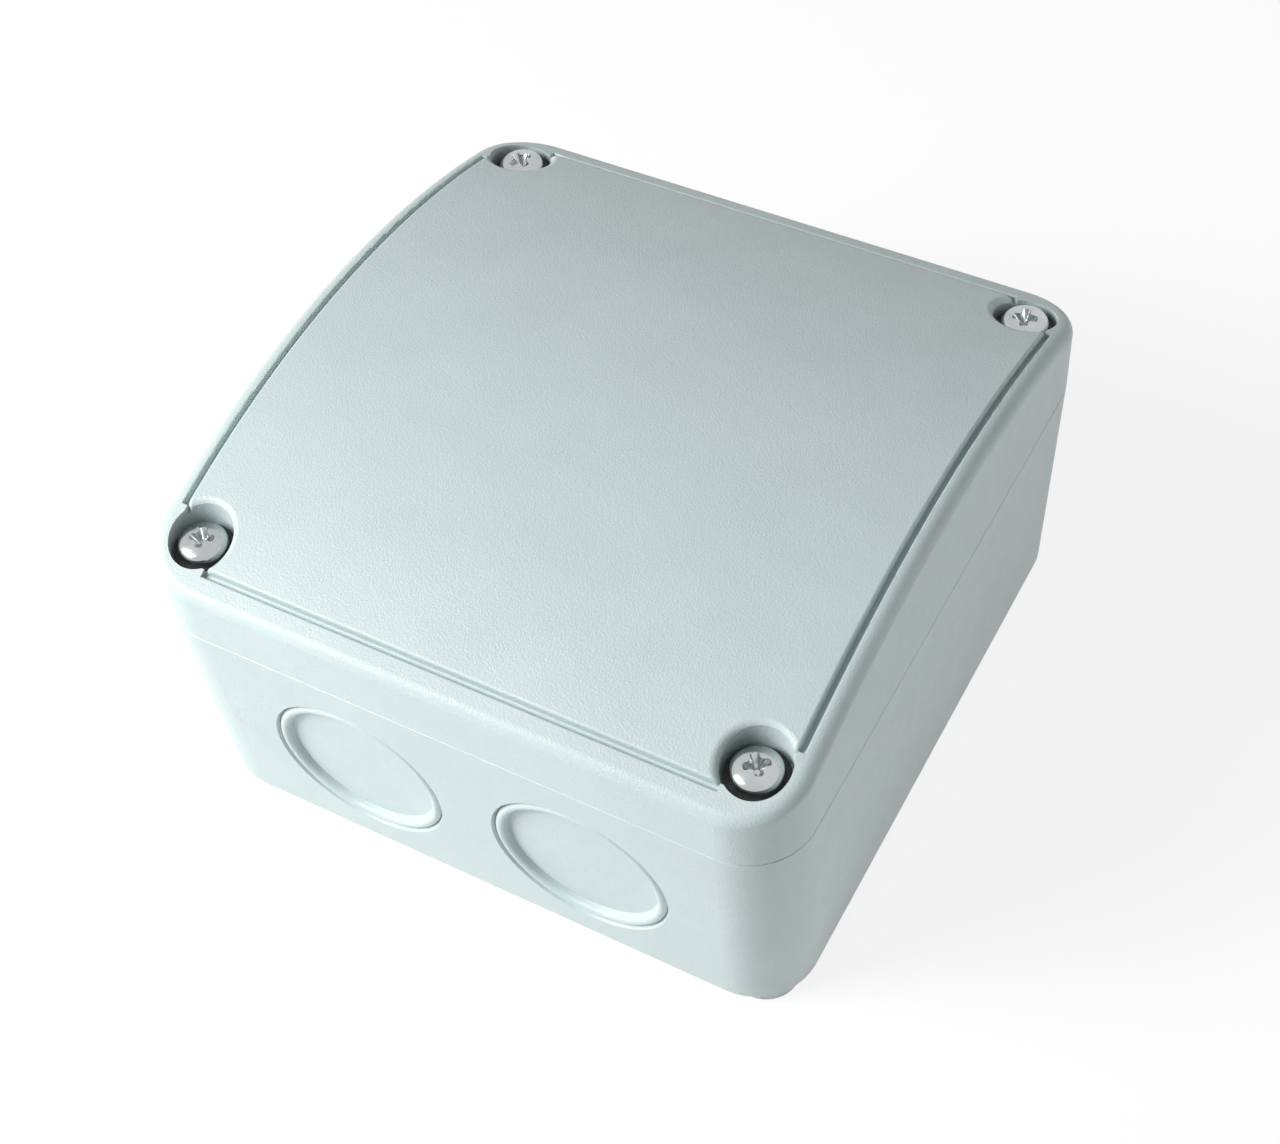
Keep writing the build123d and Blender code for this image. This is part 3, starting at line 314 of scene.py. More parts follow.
joint_radius = 0.00095
pad_radius = 0.0008
joint_sink = 0.00001
joint_share = 0.46
fillet_steps = [(-0.00005, 1.0), (-0.00012, 0.78), (-0.00025, 0.68), (-0.00035, 0.72), (-0.00012, 0.6)]
pad_steps = [(0.00005, 1.0), (0.00008, 0.72), (0.00006, 0.8)]
joint = joined([
    solder_form(joint_radius, board_low + joint_sink, fillet_steps),
    solder_form(pad_radius, board_top - joint_sink, pad_steps)])
bpy.ops.object.transform_apply(location=True, rotation=False, scale=False)
bpy.ops.object.shade_smooth_by_angle(angle=math.radians(50))
joints = []
lead_tips = [foot for node in leaded for foot in lead_feet(node)]
for place in lead_tips:
    nearest = min((place - other).length for other in lead_tips if other is not place)
    copy = copy_of(joint)
    share = min(1.0, joint_share * nearest / joint_radius)
    copy.scale = (share, share, 1.0)
    copy.location = (place.x, place.y, 0.0)
    joints.append(copy)
bpy.data.objects.remove(joint)
solder = worked_metal(
    "solder_bright", (0.72, 0.73, 0.74), roughness=0.22, grain=1500.0, depth=0.00001)
settle(joined(joints), "solder_joints", solder, "base", "tinned_metal")

# Board screws: four small pan-head screws with a cross recess, zinc-plated, that hold the board
# on its standoffs. The plate is bright with a faint cloudy bloom.
zinc_plate = worked_metal(
    "zinc_plate_bright", (0.54, 0.57, 0.57), roughness=0.18, grain=900.0, depth=0.00005)
dress(["board_screws"], zinc_plate)

# Terminal blocks: a blue one for the mains and a green one for the outputs. In each pole a slotted
# screw draws up a plated brass cage that clamps the wire against a tinned bar.
power_block_plastic = grained_plastic(
    "power_block_blue", (0.045, 0.11, 0.34), roughness=0.38, grain=2200.0, depth=0.00001, mottle=0.1)
output_block_plastic = grained_plastic(
    "output_block_green", (0.035, 0.27, 0.075), roughness=0.38, grain=2200.0, depth=0.00001, mottle=0.1)
terminal_steel = worked_metal("terminal_screw_plate", (0.72, 0.73, 0.72), roughness=0.3)
cage_plate = worked_metal("terminal_cage_nickel", (0.70, 0.66, 0.56), roughness=0.28)
bare_tin = (0.74, 0.75, 0.74)
tinned_metal = worked_metal("tinned_copper", bare_tin, roughness=0.3, stretch=(1.0, 1.0, 3.0))
dress(["power_terminal_block"], power_block_plastic)
dress(["output_terminal_block"], output_block_plastic)
dress([node for node in nodes if node.startswith("terminal_screw_")], terminal_steel)
dress([node for node in nodes if node.startswith("terminal_cage_")], cage_plate)
dress(["terminal_contacts"], tinned_metal)

# Relays: a sealed blue box for each direction of the door's motor, moulded with a slight gloss,
# with a small vent nib on its top and tinned pins through the board.
beyond = 1.0


def glossy_coat(name, colour, roughness, mottle, wave, depth, limits=None):
    material, tree, shader, place = new_finish(name)
    shader.inputs["Coat Weight"].default_value = 0.25
    shader.inputs["Coat Roughness"].default_value = 0.12
    darker = tuple(c * (1.0 - mottle) for c in colour)
    tone = spread(tree, noise_of(tree, place, scale=200.0, detail=3.0), low=0.0, high=1.0)
    shade = between(tree, tone, darker, colour)
    if limits:
        body = inside(tree, place, limits)
        shade = between(tree, body, bare_tin, shade)
        bare = spread(tree, body, low=1.0, high=0.0, start=0.0, end=1.0)
        tree.links.new(bare, shader.inputs["Metallic"])
    tree.links.new(shade, shader.inputs["Base Color"])
    uneven_shine(tree, shader, place, scale=600.0, low=roughness - 0.06, high=roughness + 0.06)
    relief(tree, shader, noise_of(tree, place, wave, detail=1.0), depth)
    return material


def inside(tree, place, limits):
    parts = tree.nodes.new("ShaderNodeSeparateXYZ")
    tree.links.new(place, parts.inputs["Vector"])
    tests = []
    for axis, (low, high) in limits.items():
        tests.append(combined(tree, "GREATER_THAN", parts.outputs[axis], low))
        tests.append(combined(tree, "LESS_THAN", parts.outputs[axis], high))
    body = tests[0]
    for test in tests[1:]:
        body = combined(tree, "MULTIPLY", body, test)
    return body


relay_case = glossy_coat(
    "relay_case_blue", (0.012, 0.085, 0.42), roughness=0.3, mottle=0.1, wave=500.0, depth=0.000008)
dress(["relay_1", "relay_2"], relay_case)
dress(["relay_pins"], tinned_metal)

# Fuse: a glass tube with nickel-plated end caps and a thin wire inside, in two spring clips of
# tinned strip. It lifts straight out of the clips.
fuse_glass, tree, shader, place = new_finish("fuse_glass_clear")
shader.inputs["Transmission Weight"].default_value = 0.95
shader.inputs["IOR"].default_value = 1.45
shader.inputs["Base Color"].default_value = (0.93, 0.97, 0.96, 1.0)
uneven_shine(tree, shader, place, scale=300.0, low=0.01, high=0.07)
relief(tree, shader, noise_of(tree, place, scale=220.0), distance=0.00001, strength=0.3)
dress(["fuse_glass"], fuse_glass)
dress(["fuse_caps"], worked_metal("fuse_cap_nickel", (0.78, 0.77, 0.74), roughness=0.16))
dress(["fuse_clips"], tinned_metal)

# Varistor and rectifier at the mains input: a disc dipped in blue coating that runs a little
# down its leads, and a round black moulded bridge.
varistor_coat_foot = board_top + 0.0009
bridge_body_foot = board_top + 0.00115
varistor_coat = glossy_coat(
    "varistor_coat_blue", (0.03, 0.08, 0.36), roughness=0.28, mottle=0.15, wave=420.0, depth=0.00003,
    limits={"Z": (varistor_coat_foot, beyond)})
dress(["surge_varistor"], varistor_coat)
bridge_black = glossy_coat(
    "bridge_black", (0.022, 0.022, 0.024), roughness=0.45, mottle=0.2, wave=2500.0, depth=0.00001,
    limits={"Z": (bridge_body_foot, beyond)})
dress(["bridge_rectifier"], bridge_black)

# Electrolytic capacitors: an aluminium can in a shrunk dark sleeve that curls over its top edge,
# with a vent cross pressed into the bare top and a groove rolled into the can near its foot.


def turned_piece(rings, sides, place):
    radius, height = rings[0]
    x, y, z = place
    bpy.ops.object.select_all(action="DESELECT")
    bpy.ops.mesh.primitive_circle_add(
        vertices=sides, radius=radius, fill_type="NGON", location=(x, y, z + height))
    piece = bpy.context.object
    bpy.ops.object.mode_set(mode="EDIT")
    bpy.ops.mesh.select_all(action="SELECT")
    for next_radius, next_height in rings[1:]:
        bpy.ops.mesh.extrude_region_move(
            TRANSFORM_OT_translate={"value": (0.0, 0.0, next_height - height)})
        share = next_radius / radius
        bpy.ops.transform.resize(value=(share, share, 1.0), center_override=(x, y, z + next_height))
        radius, height = next_radius, next_height
    bpy.ops.mesh.select_all(action="SELECT")
    bpy.ops.mesh.normals_make_consistent(inside=False)
    bpy.ops.object.mode_set(mode="OBJECT")
    bpy.ops.object.transform_apply(location=True, rotation=False, scale=False)
    return piece


def painted(piece, finishes, choose):
    piece.data.materials.clear()
    for finish in finishes:
        piece.data.materials.append(finish)
    for face in piece.data.polygons:
        face.material_index = choose(face.center)


lead_radius = 0.0003
lead_point = 0.7
point_length = 0.00015


def straight_lead(x, y, low, high):
    rings = [(lead_radius * lead_point, 0.0), (lead_radius, point_length), (lead_radius, high - low)]
    return turned_piece(rings, sides=12, place=(x, y, low))


can_sleeve = glossy_coat(
    "can_sleeve_dark", (0.016, 0.02, 0.045), roughness=0.3, mottle=0.15, wave=260.0, depth=0.00001)
can_top = worked_metal("can_top_aluminium", (0.80, 0.81, 0.82), roughness=0.3)
bare_top_depth = 0.0002
sleeve_curl = 0.0009
lead_overlap = 0.0002
vent_sink = 0.00016
vent_margin = 0.0017
vent_width = 0.00035
vent_height = 0.0003


def electrolytic(node, lead_reach):
    low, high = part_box(node)
    x, y = middle_of(low, high)
    radius = (high[1] - low[1]) / 2
    height = high[2] - board_top
    rings = [
        (radius * 0.9, 0.0), (radius * 0.97, 0.0001), (radius, 0.0005), (radius, 0.0014),
        (radius - 0.00022, 0.0017), (radius - 0.0003, 0.00205), (radius - 0.00022, 0.0024),
        (radius, 0.0027), (radius, height - 0.0007), (radius - 0.00012, height - 0.0003),
        (radius - 0.0004, height - 0.00005), (radius - 0.0008, height),
        (radius - 0.0010, height - 0.00012), (radius - 0.0013, height - 0.00016)]
    can = turned_piece(rings, sides=48, place=(x, y, board_top))
    painted(can, [can_sleeve, can_top], lambda centre: int(
        centre.z > high[2] - bare_top_depth
        and math.hypot(centre.x - x, centre.y - y) < radius - sleeve_curl))
    vent_bars = []
    for turn in (0.0, math.pi / 2):
        bpy.ops.mesh.primitive_cube_add(
            size=1.0, location=(x, y, high[2] - vent_sink), rotation=(0.0, 0.0, turn))
        bar = bpy.context.object
        bar.scale = (2 * (radius - vent_margin), vent_width, vent_height)
        vent_bars.append(bar)
    cutter = joined(vent_bars)
    bpy.context.view_layer.objects.active = can
    vent = can.modifiers.new("vent_cross", "BOOLEAN")
    vent.object = cutter
    vent.use_self = True
    bpy.ops.object.modifier_apply(modifier=vent.name)
    bpy.data.objects.remove(cutter)
    leads = [
        straight_lead(x + side * lead_reach, y, low[2], board_top + lead_overlap) for side in (-1, 1)]
    for wire in leads:
        wire.data.materials.append(tinned_metal)
    piece = joined([can, *leads])
    bpy.ops.object.shade_smooth_by_angle(angle=math.radians(40))
    settle(piece, node + "_can", None, "base", "can_sleeve", node)


electrolytic("supply_capacitor", lead_reach=0.0025)
electrolytic("logic_capacitor", lead_reach=0.001575)

# Voltage regulator: a black moulded body on a drilled, tinned copper tab, which stands on three
# leads soldered through the board.
tab_thickness = 0.00131
regulator_body_foot = board_top + 0.00395
regulator_body_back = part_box("voltage_regulator")[1][1] - tab_thickness
regulator_coat = glossy_coat(
    "regulator_black", (0.022, 0.022, 0.024), roughness=0.5, mottle=0.2, wave=2500.0, depth=0.00001,
    limits={"Z": (regulator_body_foot, beyond), "Y": (-beyond, regulator_body_back)})
dress(["voltage_regulator"], regulator_coat)

# Microcontroller in its socket, and the clock's resonator: a black moulded chip with two rows of
# tinned legs, a black socket, and a small block dipped in orange coating.
chip_middle = middle_of(*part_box("microcontroller"))[1]
chip_half_width = 0.00321
moulding_foot = board_top - 0.0001
resonator_coat_foot = board_top + 0.00035
chip_black = glossy_coat(
    "chip_black", (0.018, 0.018, 0.019), roughness=0.5, mottle=0.2, wave=3000.0, depth=0.000008,
    limits={"Y": (chip_middle - chip_half_width, chip_middle + chip_half_width)})
dress(["microcontroller"], chip_black)
socket_black = glossy_coat(
    "socket_black", (0.02, 0.02, 0.02), roughness=0.42, mottle=0.2, wave=2200.0, depth=0.00001,
    limits={"Z": (moulding_foot, beyond)})
dress(["chip_socket"], socket_black)
resonator_coat = glossy_coat(
    "resonator_orange", (0.56, 0.16, 0.02), roughness=0.25, mottle=0.12, wave=420.0, depth=0.00003,
    limits={"Z": (resonator_coat_foot, beyond)})
dress(["clock_resonator"], resonator_coat)

# Radio receiver: its own small board, standing on edge on a moulded pin strip, with a tinned
# filter can, a small black chip and a tuning coil soldered to its face.
strip_top = board_top + 0.00251
strip_black = glossy_coat(
    "strip_black", (0.02, 0.02, 0.02), roughness=0.42, mottle=0.2, wave=2200.0, depth=0.00001,
    limits={"Z": (moulding_foot, strip_top)})
dress(["radio_board"], masked_laminate("radio_laminate_masked", face_axis="Y", turn=math.pi / 2))
dress(["radio_header"], strip_black)
dress(["radio_can"], worked_metal("radio_can_tin", bare_tin, roughness=0.2, stretch=(1.0, 1.0, 5.0)))
part_black = grained_plastic(
    "part_black", (0.022, 0.022, 0.024), roughness=0.5, grain=3000.0, depth=0.00001, mottle=0.2)
dress(["radio_parts"], part_black)

# Aerial: one length of enamelled copper wire wound on a former and stood on end, its foot
# soldered to the board.
coil_low, coil_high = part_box("aerial")
coil_x, coil_y = middle_of(coil_low, coil_high)


def wire_along(points, radius, roundness):
    bpy.ops.object.select_all(action="DESELECT")
    bpy.ops.curve.primitive_nurbs_path_add(location=(0.0, 0.0, 0.0))
    wire = bpy.context.object
    wire.data.splines.clear()
    spline = wire.data.splines.new("NURBS")
    spline.points.add(len(points) - 1)
    for held, point in zip(spline.points, points):
        held.co = (*point, 1.0)
    spline.order_u = 3
    spline.use_endpoint_u = True
    spline.resolution_u = 2
    wire.data.bevel_depth = radius
    wire.data.bevel_resolution = roundness
    wire.data.use_fill_caps = True
    bpy.ops.object.convert(target="MESH")
    bpy.ops.object.shade_smooth()
    return bpy.context.object


coil_radius = 0.0026
turn_rise = 0.0016
turns = 12
points_per_turn = 20
bend_radius = 0.0014
wire_radius = 0.0004
first_share = 0.3
end_gap = 0.0001
ease_out = 0.0001
ease_down = 0.0005
coil_start = coil_high[2] - wire_radius - turns * turn_rise - end_gap
foot_y = coil_y - bend_radius
coil_points = [
    (coil_x + coil_radius, foot_y, coil_low[2]),
    (coil_x + coil_radius, foot_y, board_top),
    (coil_x + coil_radius, foot_y, coil_start - bend_radius),
    (coil_x + coil_radius, foot_y + ease_out, coil_start - ease_down)]
for step in range(points_per_turn * turns + 2):
    angle = 2 * math.pi * (step + first_share) / points_per_turn
    coil_points.append((
        coil_x + coil_radius * math.cos(angle), coil_y + coil_radius * math.sin(angle),
        min(coil_start + turn_rise * step / points_per_turn, coil_high[2] - wire_radius)))
enamelled_copper = worked_metal(
    "enamelled_copper", (0.62, 0.24, 0.09), roughness=0.24, grain=900.0, depth=0.00001)
aerial = wire_along(coil_points, wire_radius, roundness=3)
settle(aerial, "aerial_wire", enamelled_copper, "base", "aerial_wire", "aerial")

# Learn buttons: a black moulded well on four legs that are soldered through the board, a pressed
# steel cover plate, and a red or a grey plunger that clicks.
housing_black = glossy_coat(
    "button_housing_black", (0.02, 0.02, 0.02), roughness=0.45, mottle=0.2, wave=2500.0, depth=0.00001,
    limits={"Z": (moulding_foot, beyond)})
dress(["button_housings"], housing_black)
dress(["button_plates"], worked_metal(
    "button_plate_steel", (0.70, 0.71, 0.70), roughness=0.3, stretch=(8.0, 1.0, 1.0)))
dress(["learn_button_1"], grained_plastic(
    "button_red", (0.50, 0.018, 0.014), roughness=0.4, grain=2600.0, depth=0.00001, mottle=0.1))
dress(["learn_button_2"], grained_plastic(
    "button_grey", (0.26, 0.27, 0.27), roughness=0.4, grain=2600.0, depth=0.00001, mottle=0.1))

# Status lamps: two red-tinted lamps with a domed top and a flange, one beside each button, cast
# round their tinned leads.
lamp_lens, tree, shader, place = new_finish("lamp_lens_red")
lens = inside(tree, place, {"Z": (moulding_foot, beyond)})
tint = spread(tree, noise_of(tree, place, scale=500.0), low=0.0, high=1.0)
deep_red, clear_red = (0.42, 0.010, 0.006), (0.62, 0.02, 0.012)
lens_red = between(tree, tint, deep_red, clear_red)
tree.links.new(between(tree, lens, bare_tin, lens_red), shader.inputs["Base Color"])
lead_share = spread(tree, lens, low=1.0, high=0.0, start=0.0, end=1.0)
tree.links.new(lead_share, shader.inputs["Metallic"])
uneven_shine(tree, shader, place, scale=700.0, low=0.08, high=0.2)
shader.inputs["Transmission Weight"].default_value = 0.35
shader.inputs["Coat Weight"].default_value = 0.5
relief(tree, shader, noise_of(tree, place, scale=400.0), distance=0.000006)
dress(["status_lamps"], lamp_lens)

# Jumper: a moulded black strip with three tinned pins soldered through the board, and a moulded
# blue cap that bridges two of them and pulls off.
dress(["jumper_header"], part_black)
dress(["jumper_pins"], tinned_metal)
dress(["jumper_cap"], grained_plastic(
    "jumper_blue", (0.03, 0.07, 0.36), roughness=0.4, grain=2600.0, depth=0.00001, mottle=0.1))

# Resistors: a lacquered body, thicker over its end caps, with painted colour bands, on one
# tinned wire bent down into the board at each end.


def band_painter(edges):
    def choose(centre):
        for index, (low, high) in enumerate(edges):
            if low < centre.z < high:
                return index + 1
        return 0
    return choose


def lead_pairs(node):
    feet = lead_feet(node)
    feet.sort(key=lambda foot: (round(foot.y, 4), foot.x))
    return list(zip(feet[::2], feet[1::2]))


lead_bend = 0.0007
body_lift = 0.00015


def laid_on_board(node, radius, body_rings, finish_sets, choose):
    parts = []
    height = board_top + body_lift + radius
    foot_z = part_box(node)[0][2]
    plain_body = turned_piece(body_rings, sides=24, place=(0.0, 0.0, 0.0))
    bpy.ops.object.shade_smooth_by_angle(angle=math.radians(45))
    for index, (left, right) in enumerate(lead_pairs(node)):
        body = copy_of(plain_body)
        painted(body, finish_sets[index % len(finish_sets)], choose)
        body.rotation_euler = (0.0, math.pi / 2, 0.0)
        middle = (left.x + right.x) / 2
        body.location = (middle, left.y, height)
        wire = wire_along([
            (left.x, left.y, foot_z), (left.x, left.y, board_top), (left.x, left.y, height - lead_bend),
            (left.x, left.y, height), (left.x + lead_bend, left.y, height),
            (middle, left.y, height), (right.x - lead_bend, left.y, height),
            (right.x, left.y, height), (right.x, left.y, height - lead_bend), (right.x, left.y, board_top),
            (right.x, left.y, foot_z)], lead_radius, roundness=2)
        wire.data.materials.clear()
        wire.data.materials.append(tinned_metal)
        parts += [body, wire]
    bpy.data.objects.remove(plain_body)
    return joined(parts)


def band_paint(name, colour):
    return grained_plastic(name, colour, roughness=0.36, grain=1500.0, depth=0.00001, mottle=0.1)


resistor_lacquer = band_paint("resistor_lacquer", (0.55, 0.40, 0.20))
band_colours = {
    "brown": (0.12, 0.04, 0.015), "black": (0.015, 0.015, 0.015), "red": (0.45, 0.02, 0.015),
    "orange": (0.65, 0.17, 0.02), "yellow": (0.70, 0.50, 0.04)}
bands = {name: band_paint(f"band_{name}", colour) for name, colour in band_colours.items()}
band_gold = worked_metal("band_gold", (0.60, 0.43, 0.16), roughness=0.35)
band_edges = [(-0.0027, -0.0021), (-0.0013, -0.0008), (-0.0003, 0.0002), (0.0021, 0.0027)]
resistor_rings = [
    (0.00035, -0.0031), (0.0009, -0.00308), (0.00108, -0.0029), (0.00113, -0.0027), (0.00113, -0.0021),
    (0.00107, -0.0019), (0.00096, -0.0016), (0.00095, -0.0013), (0.00095, -0.0008), (0.00095, -0.0003),
    (0.00095, 0.0002), (0.00095, 0.0013), (0.00096, 0.0016), (0.00107, 0.0019), (0.00113, 0.0021),
    (0.00113, 0.0027), (0.00108, 0.0029), (0.0009, 0.00308), (0.00035, 0.0031)]
resistor_values = [
    ("brown", "black", "red"), ("yellow", "red", "orange"), ("orange", "orange", "brown"),
    ("brown", "red", "black"), ("red", "red", "brown")]
resistor_finishes = [
    [resistor_lacquer, *[bands[name] for name in value], band_gold] for value in resistor_values]
resistor_radius = 0.00115
resistors = laid_on_board(
    "resistors", resistor_radius, resistor_rings, resistor_finishes, band_painter(band_edges))
settle(resistors, "banded_resistors", None, "base", "resistor_coat", "resistors")

# Diodes: a black moulded body with a grey ring painted at its cathode end, on one tinned wire
# that is bent down into the board at each end.
diode_black = band_paint("diode_black", (0.02, 0.02, 0.022))
diode_ring = band_paint("diode_ring_grey", (0.55, 0.56, 0.56))
diode_rings = [
    (0.0004, -0.0025), (0.0010, -0.00248), (0.00125, -0.0023), (0.0013, -0.0020), (0.0013, -0.0018),
    (0.0013, -0.0010), (0.0013, 0.0020), (0.00125, 0.0023), (0.0010, 0.00248), (0.0004, 0.0025)]
diode_radius = 0.0013
cathode_ring = (-0.0018, -0.0010)
diodes = laid_on_board(
    "diodes", diode_radius, diode_rings, [[diode_black, diode_ring]], band_painter([cathode_ring]))
settle(diodes, "ringed_diodes", None, "base", "black_component", "diodes")

# Ceramic capacitors and transistors: small discs dipped in tan coating that runs down the leads,
# and black moulded bodies with a flat front, on three leads each.
ceramic_coat_foot = board_top + 0.0009
transistor_body_foot = board_top + 0.00145
ceramic_coat = glossy_coat(
    "ceramic_tan", (0.50, 0.20, 0.045), roughness=0.35, mottle=0.15, wave=500.0, depth=0.00003,
    limits={"Z": (ceramic_coat_foot, beyond)})
dress(["ceramic_capacitors"], ceramic_coat)
transistor_black = glossy_coat(
    "transistor_black", (0.02, 0.02, 0.022), roughness=0.48, mottle=0.2, wave=2500.0, depth=0.00001,
    limits={"Z": (transistor_body_foot, beyond)})
dress(["transistors"], transistor_black)

# Lid and its seal: a low arched panel with a narrow groove between it and the rounded rim, and a
# round pocket for a screw in each corner, moulded of the base's plastic over a black rubber cord.
dress(["lid"], case_plastic)
# Black rubber for the lid's seal cord. The same finish goes on the screw washers, where it is painted
# shade in the pockets.
seal_rubber_and_painted_shade = grained_plastic(
    "rubber_black_and_painted_shade", (0.020, 0.020, 0.020), roughness=0.65, grain=1800.0, depth=0.00001, mottle=0.25)
dress(["lid_seal"], seal_rubber_and_painted_shade)

# Lid screws: pan-head machine screws of bright zinc-plated steel with a rounded cross recess and a
# rolled thread, each on a wide black washer in its pocket. The washer's black fills the gap round
# the head as painted shade.
# The washers take the black rubber: a dark disc under each head that paints the shade in the pocket's gap.
dress([node for node in nodes if node.startswith("screw_washer_")], seal_rubber_and_painted_shade)
screw_rings = [
    (0.0009, -0.0200), (0.00125, -0.0197), (0.00138, -0.0192), (0.00138, -0.0006), (0.0016, -0.0002),
    (0.0016, 0.0), (0.0033, 0.0), (0.00346, 0.00008), (0.0035, 0.00025), (0.0035, 0.0010),
    (0.00347, 0.0013), (0.00336, 0.00158), (0.00315, 0.00182), (0.0028, 0.00204), (0.0023, 0.00222),
    (0.0017, 0.00236), (0.0010, 0.00246), (0.0004, 0.0025)]
screw = turned_piece(screw_rings, sides=64, place=(0.0, 0.0, 0.0))
recess_height = 0.0018
blade_size = (0.0042, 0.0013, 0.0020)
blade_taper = (0.42, 0.5, 1.0)
blade_round = 0.00028
blades = []
for turn in (0.0, math.pi / 2):
    bpy.ops.mesh.primitive_cube_add(size=1.0, location=(0.0, 0.0, recess_height))
    blade = bpy.context.object
    blade.scale = blade_size
    bpy.ops.object.transform_apply(location=False, rotation=False, scale=True)
    bpy.ops.object.mode_set(mode="EDIT")
    bpy.ops.mesh.select_all(action="DESELECT")
    shape = bmesh.from_edit_mesh(blade.data)
    for vert in shape.verts:
        vert.select = vert.co.z < 0
    shape.select_flush(True)
    bmesh.update_edit_mesh(blade.data)
    bpy.ops.transform.resize(value=blade_taper, center_override=(0.0, 0.0, 0.0))
    bpy.ops.mesh.select_all(action="SELECT")
    bpy.ops.mesh.bevel(offset=blade_round, segments=3, affect="EDGES")
    bpy.ops.object.mode_set(mode="OBJECT")
    blade.rotation_euler = (0.0, 0.0, turn)
    blades.append(blade)
driver = joined(blades)
bpy.ops.mesh.primitive_cone_add(
    vertices=24, radius1=0.0004, radius2=0.0013, depth=0.0024, location=(0.0, 0.0, recess_height))
driver = joined([driver, bpy.context.object])
bpy.context.view_layer.objects.active = screw
recess = screw.modifiers.new("cross_recess", "BOOLEAN")
recess.object = driver
recess.use_self = True
bpy.ops.object.modifier_apply(modifier=recess.name)
bpy.data.objects.remove(driver)
bpy.ops.object.select_all(action="DESELECT")
thread_foot = (0.00135, 0.0, -0.0191)
thread_ridge = 0.0003
thread_pitch = 0.0006
thread_turns = 29
thread_sides = 24
bpy.ops.mesh.primitive_circle_add(
    vertices=3, radius=thread_ridge, fill_type="NOTHING", location=thread_foot,
    rotation=(math.pi / 2, 0.0, 0.0))
thread = bpy.context.object
bpy.ops.object.mode_set(mode="EDIT")
bpy.ops.mesh.select_all(action="SELECT")
bpy.ops.transform.rotate(value=math.pi / 2, orient_axis="Y", center_override=thread_foot)
bpy.ops.object.mode_set(mode="OBJECT")
bpy.context.scene.cursor.location = (0.0, 0.0, 0.0)
bpy.ops.object.transform_apply(location=True, rotation=True, scale=True)
rolled = thread.modifiers.new("rolled_thread", "SCREW")
rolled.axis = "Z"
rolled.angle = 2 * math.pi
rolled.screw_offset = thread_pitch
rolled.iterations = thread_turns
rolled.steps = thread_sides
rolled.render_steps = thread_sides
rolled.use_merge_vertices = False
bpy.ops.object.modifier_apply(modifier=rolled.name)
bpy.ops.object.mode_set(mode="EDIT")
bpy.ops.mesh.select_all(action="DESELECT")
bpy.ops.mesh.select_mode(type="EDGE")
bpy.ops.mesh.select_non_manifold()
bpy.ops.mesh.fill()
bpy.ops.mesh.select_all(action="SELECT")
bpy.ops.mesh.normals_make_consistent(inside=False)
bpy.ops.object.mode_set(mode="OBJECT")
screw = joined([screw, thread])
bpy.ops.object.shade_smooth_by_angle(angle=math.radians(30))
head_height = 0.0025
screw_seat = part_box("lid_screw_front_left")[1][2] - head_height
driven_to = {"front_left": 20.0, "front_right": 38.0, "back_left": 62.0, "back_right": 12.0}
for corner, degrees in driven_to.items():
    node = f"lid_screw_{corner}"
    copy = copy_of(screw)
    copy.rotation_euler = (0.0, 0.0, math.radians(degrees))
    copy.location = (*middle_of(*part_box(node)), screw_seat)
    settle(copy, f"cross_screw_{corner}", zinc_plate, f"screw_{corner}", "zinc_plated_steel", node)
bpy.data.objects.remove(screw)

# Studio: a pale floor that is clear from below, a soft main lamp from the front left, a weak low
# lamp from the back right, even light from all round, and the camera at the photograph's angle.
floor_drop = 0.0001
floor_white = (0.95, 0.95, 0.95, 1.0)
floor_glow = 1.06
floor_glow_share = 0.8
pure_white = (1.0, 1.0, 1.0, 1.0)
fill_level = 0.13
bpy.ops.mesh.primitive_plane_add(size=8.0, location=(0.0, 0.0, -floor_drop))
floor = bpy.context.object
floor.name = "studio_floor"
floor_paint, tree, shader, place = new_finish("floor_pale")
shader.inputs["Base Color"].default_value = floor_white
shader.inputs["Roughness"].default_value = 0.9
shader.inputs["Specular IOR Level"].default_value = 0.1


def seen_directly(tree):
    rays = tree.nodes.new("ShaderNodeLightPath")
    total = rays.outputs["Is Camera Ray"]
    for kind in ("Is Glossy Ray", "Is Transmission Ray"):
        total = combined(tree, "MAXIMUM", total, rays.outputs[kind])
    return total


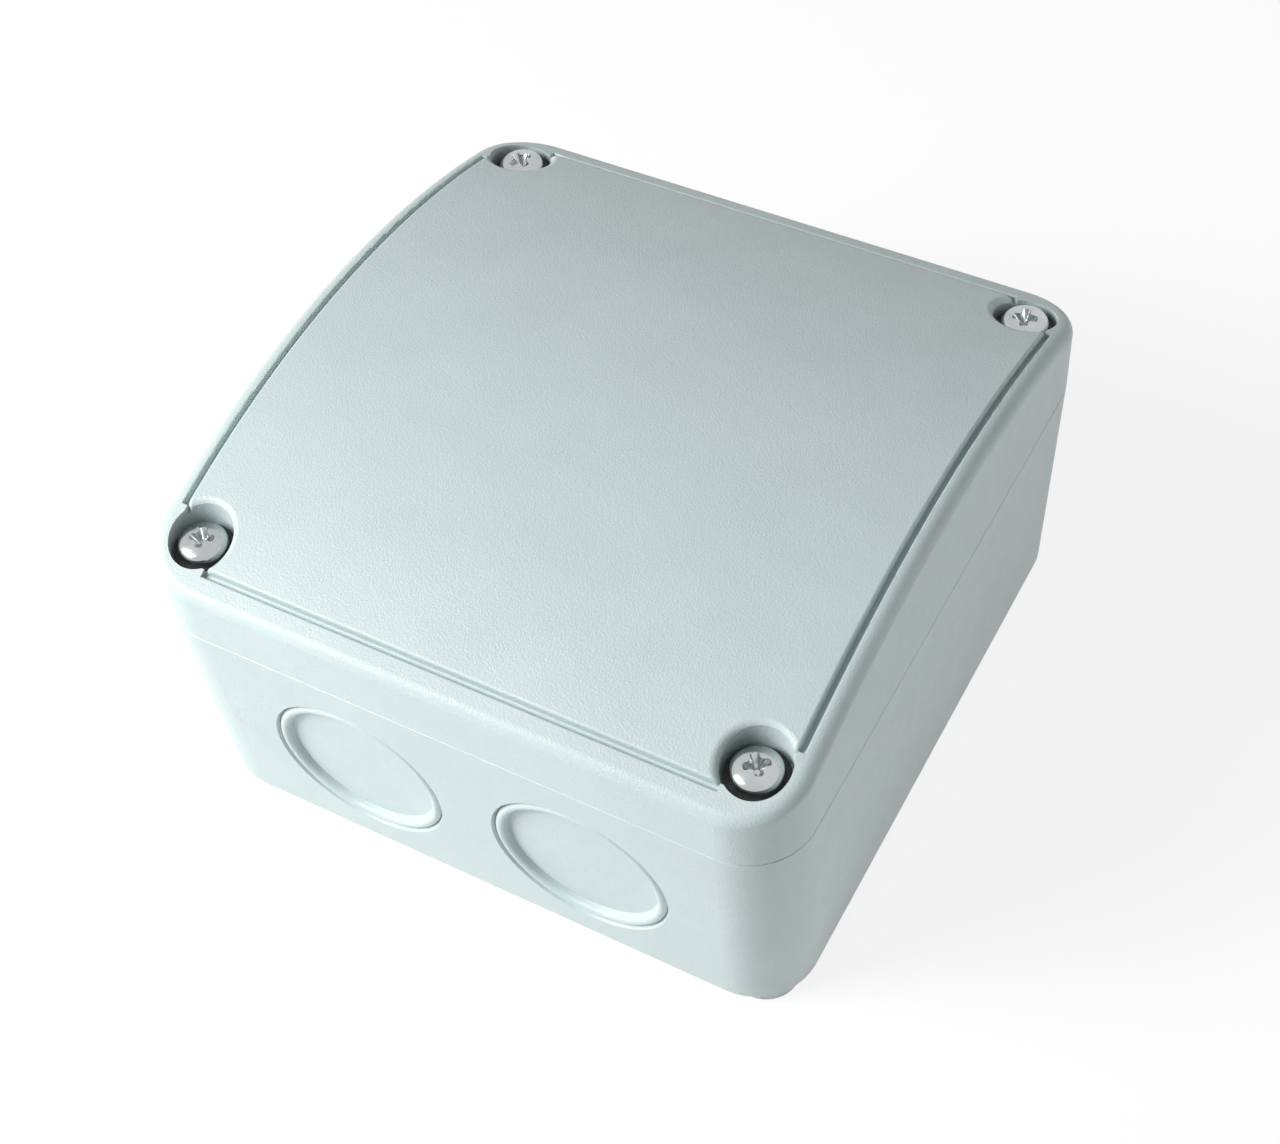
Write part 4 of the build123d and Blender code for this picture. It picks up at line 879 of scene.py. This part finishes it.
glow = tree.nodes.new("ShaderNodeEmission")
glow.inputs["Color"].default_value = pure_white
glow.inputs["Strength"].default_value = floor_glow
glow_share = spread(tree, seen_directly(tree), low=0.0, high=floor_glow_share, start=0.0, end=1.0)
cover = tree.nodes.new("ShaderNodeMixShader")
tree.links.new(glow_share, cover.inputs["Fac"])
tree.links.new(shader.outputs["BSDF"], cover.inputs[1])
tree.links.new(glow.outputs["Emission"], cover.inputs[2])
side = tree.nodes.new("ShaderNodeNewGeometry")
clear = tree.nodes.new("ShaderNodeBsdfTransparent")
one_sided = tree.nodes.new("ShaderNodeMixShader")
tree.links.new(side.outputs["Backfacing"], one_sided.inputs["Fac"])
tree.links.new(cover.outputs["Shader"], one_sided.inputs[1])
tree.links.new(clear.outputs["BSDF"], one_sided.inputs[2])
tree.links.new(one_sided.outputs["Shader"], tree.nodes["Material Output"].inputs["Surface"])
floor.data.materials.append(floor_paint)
floor.select_set(False)

world = bpy.data.worlds.new("studio_light")
bpy.context.scene.world = world
world.use_nodes = True
sky = world.node_tree.nodes["Background"]
sky.inputs["Color"].default_value = pure_white
sky_seen = seen_directly(world.node_tree)
sky_level = spread(world.node_tree, sky_seen, low=fill_level, high=1.0, start=0.0, end=1.0)
world.node_tree.links.new(sky_level, sky.inputs["Strength"])


def soft_lamp(name, direction, reach, size, level):
    towards = Vector(direction).normalized()
    bpy.ops.object.light_add(type="AREA", location=towards * reach)
    lamp = bpy.context.object
    lamp.name = name
    lamp.rotation_euler = towards.to_track_quat("Z", "Y").to_euler()
    lamp.data.shape = "SQUARE"
    lamp.data.size = size
    lamp.data.energy = math.pi ** 2 * reach ** 2 * level


soft_lamp("main_lamp", (-0.58, -0.53, 0.62), reach=0.62, size=0.32, level=1.22)
soft_lamp("side_lamp", (0.93, 0.32, 0.18), reach=0.8, size=0.4, level=0.22)

bpy.ops.object.camera_add(
    location=(0.113981, -0.173023, 0.271648), rotation=(0.6827363, 0.0674622, 0.49964018))
camera = bpy.context.object
camera.name = "camera"
camera.data.sensor_width = 36.0
camera.data.lens = 60.698
camera.data.clip_start = 0.01
bpy.context.scene.camera = camera
bpy.context.scene.view_settings.view_transform = "Standard"
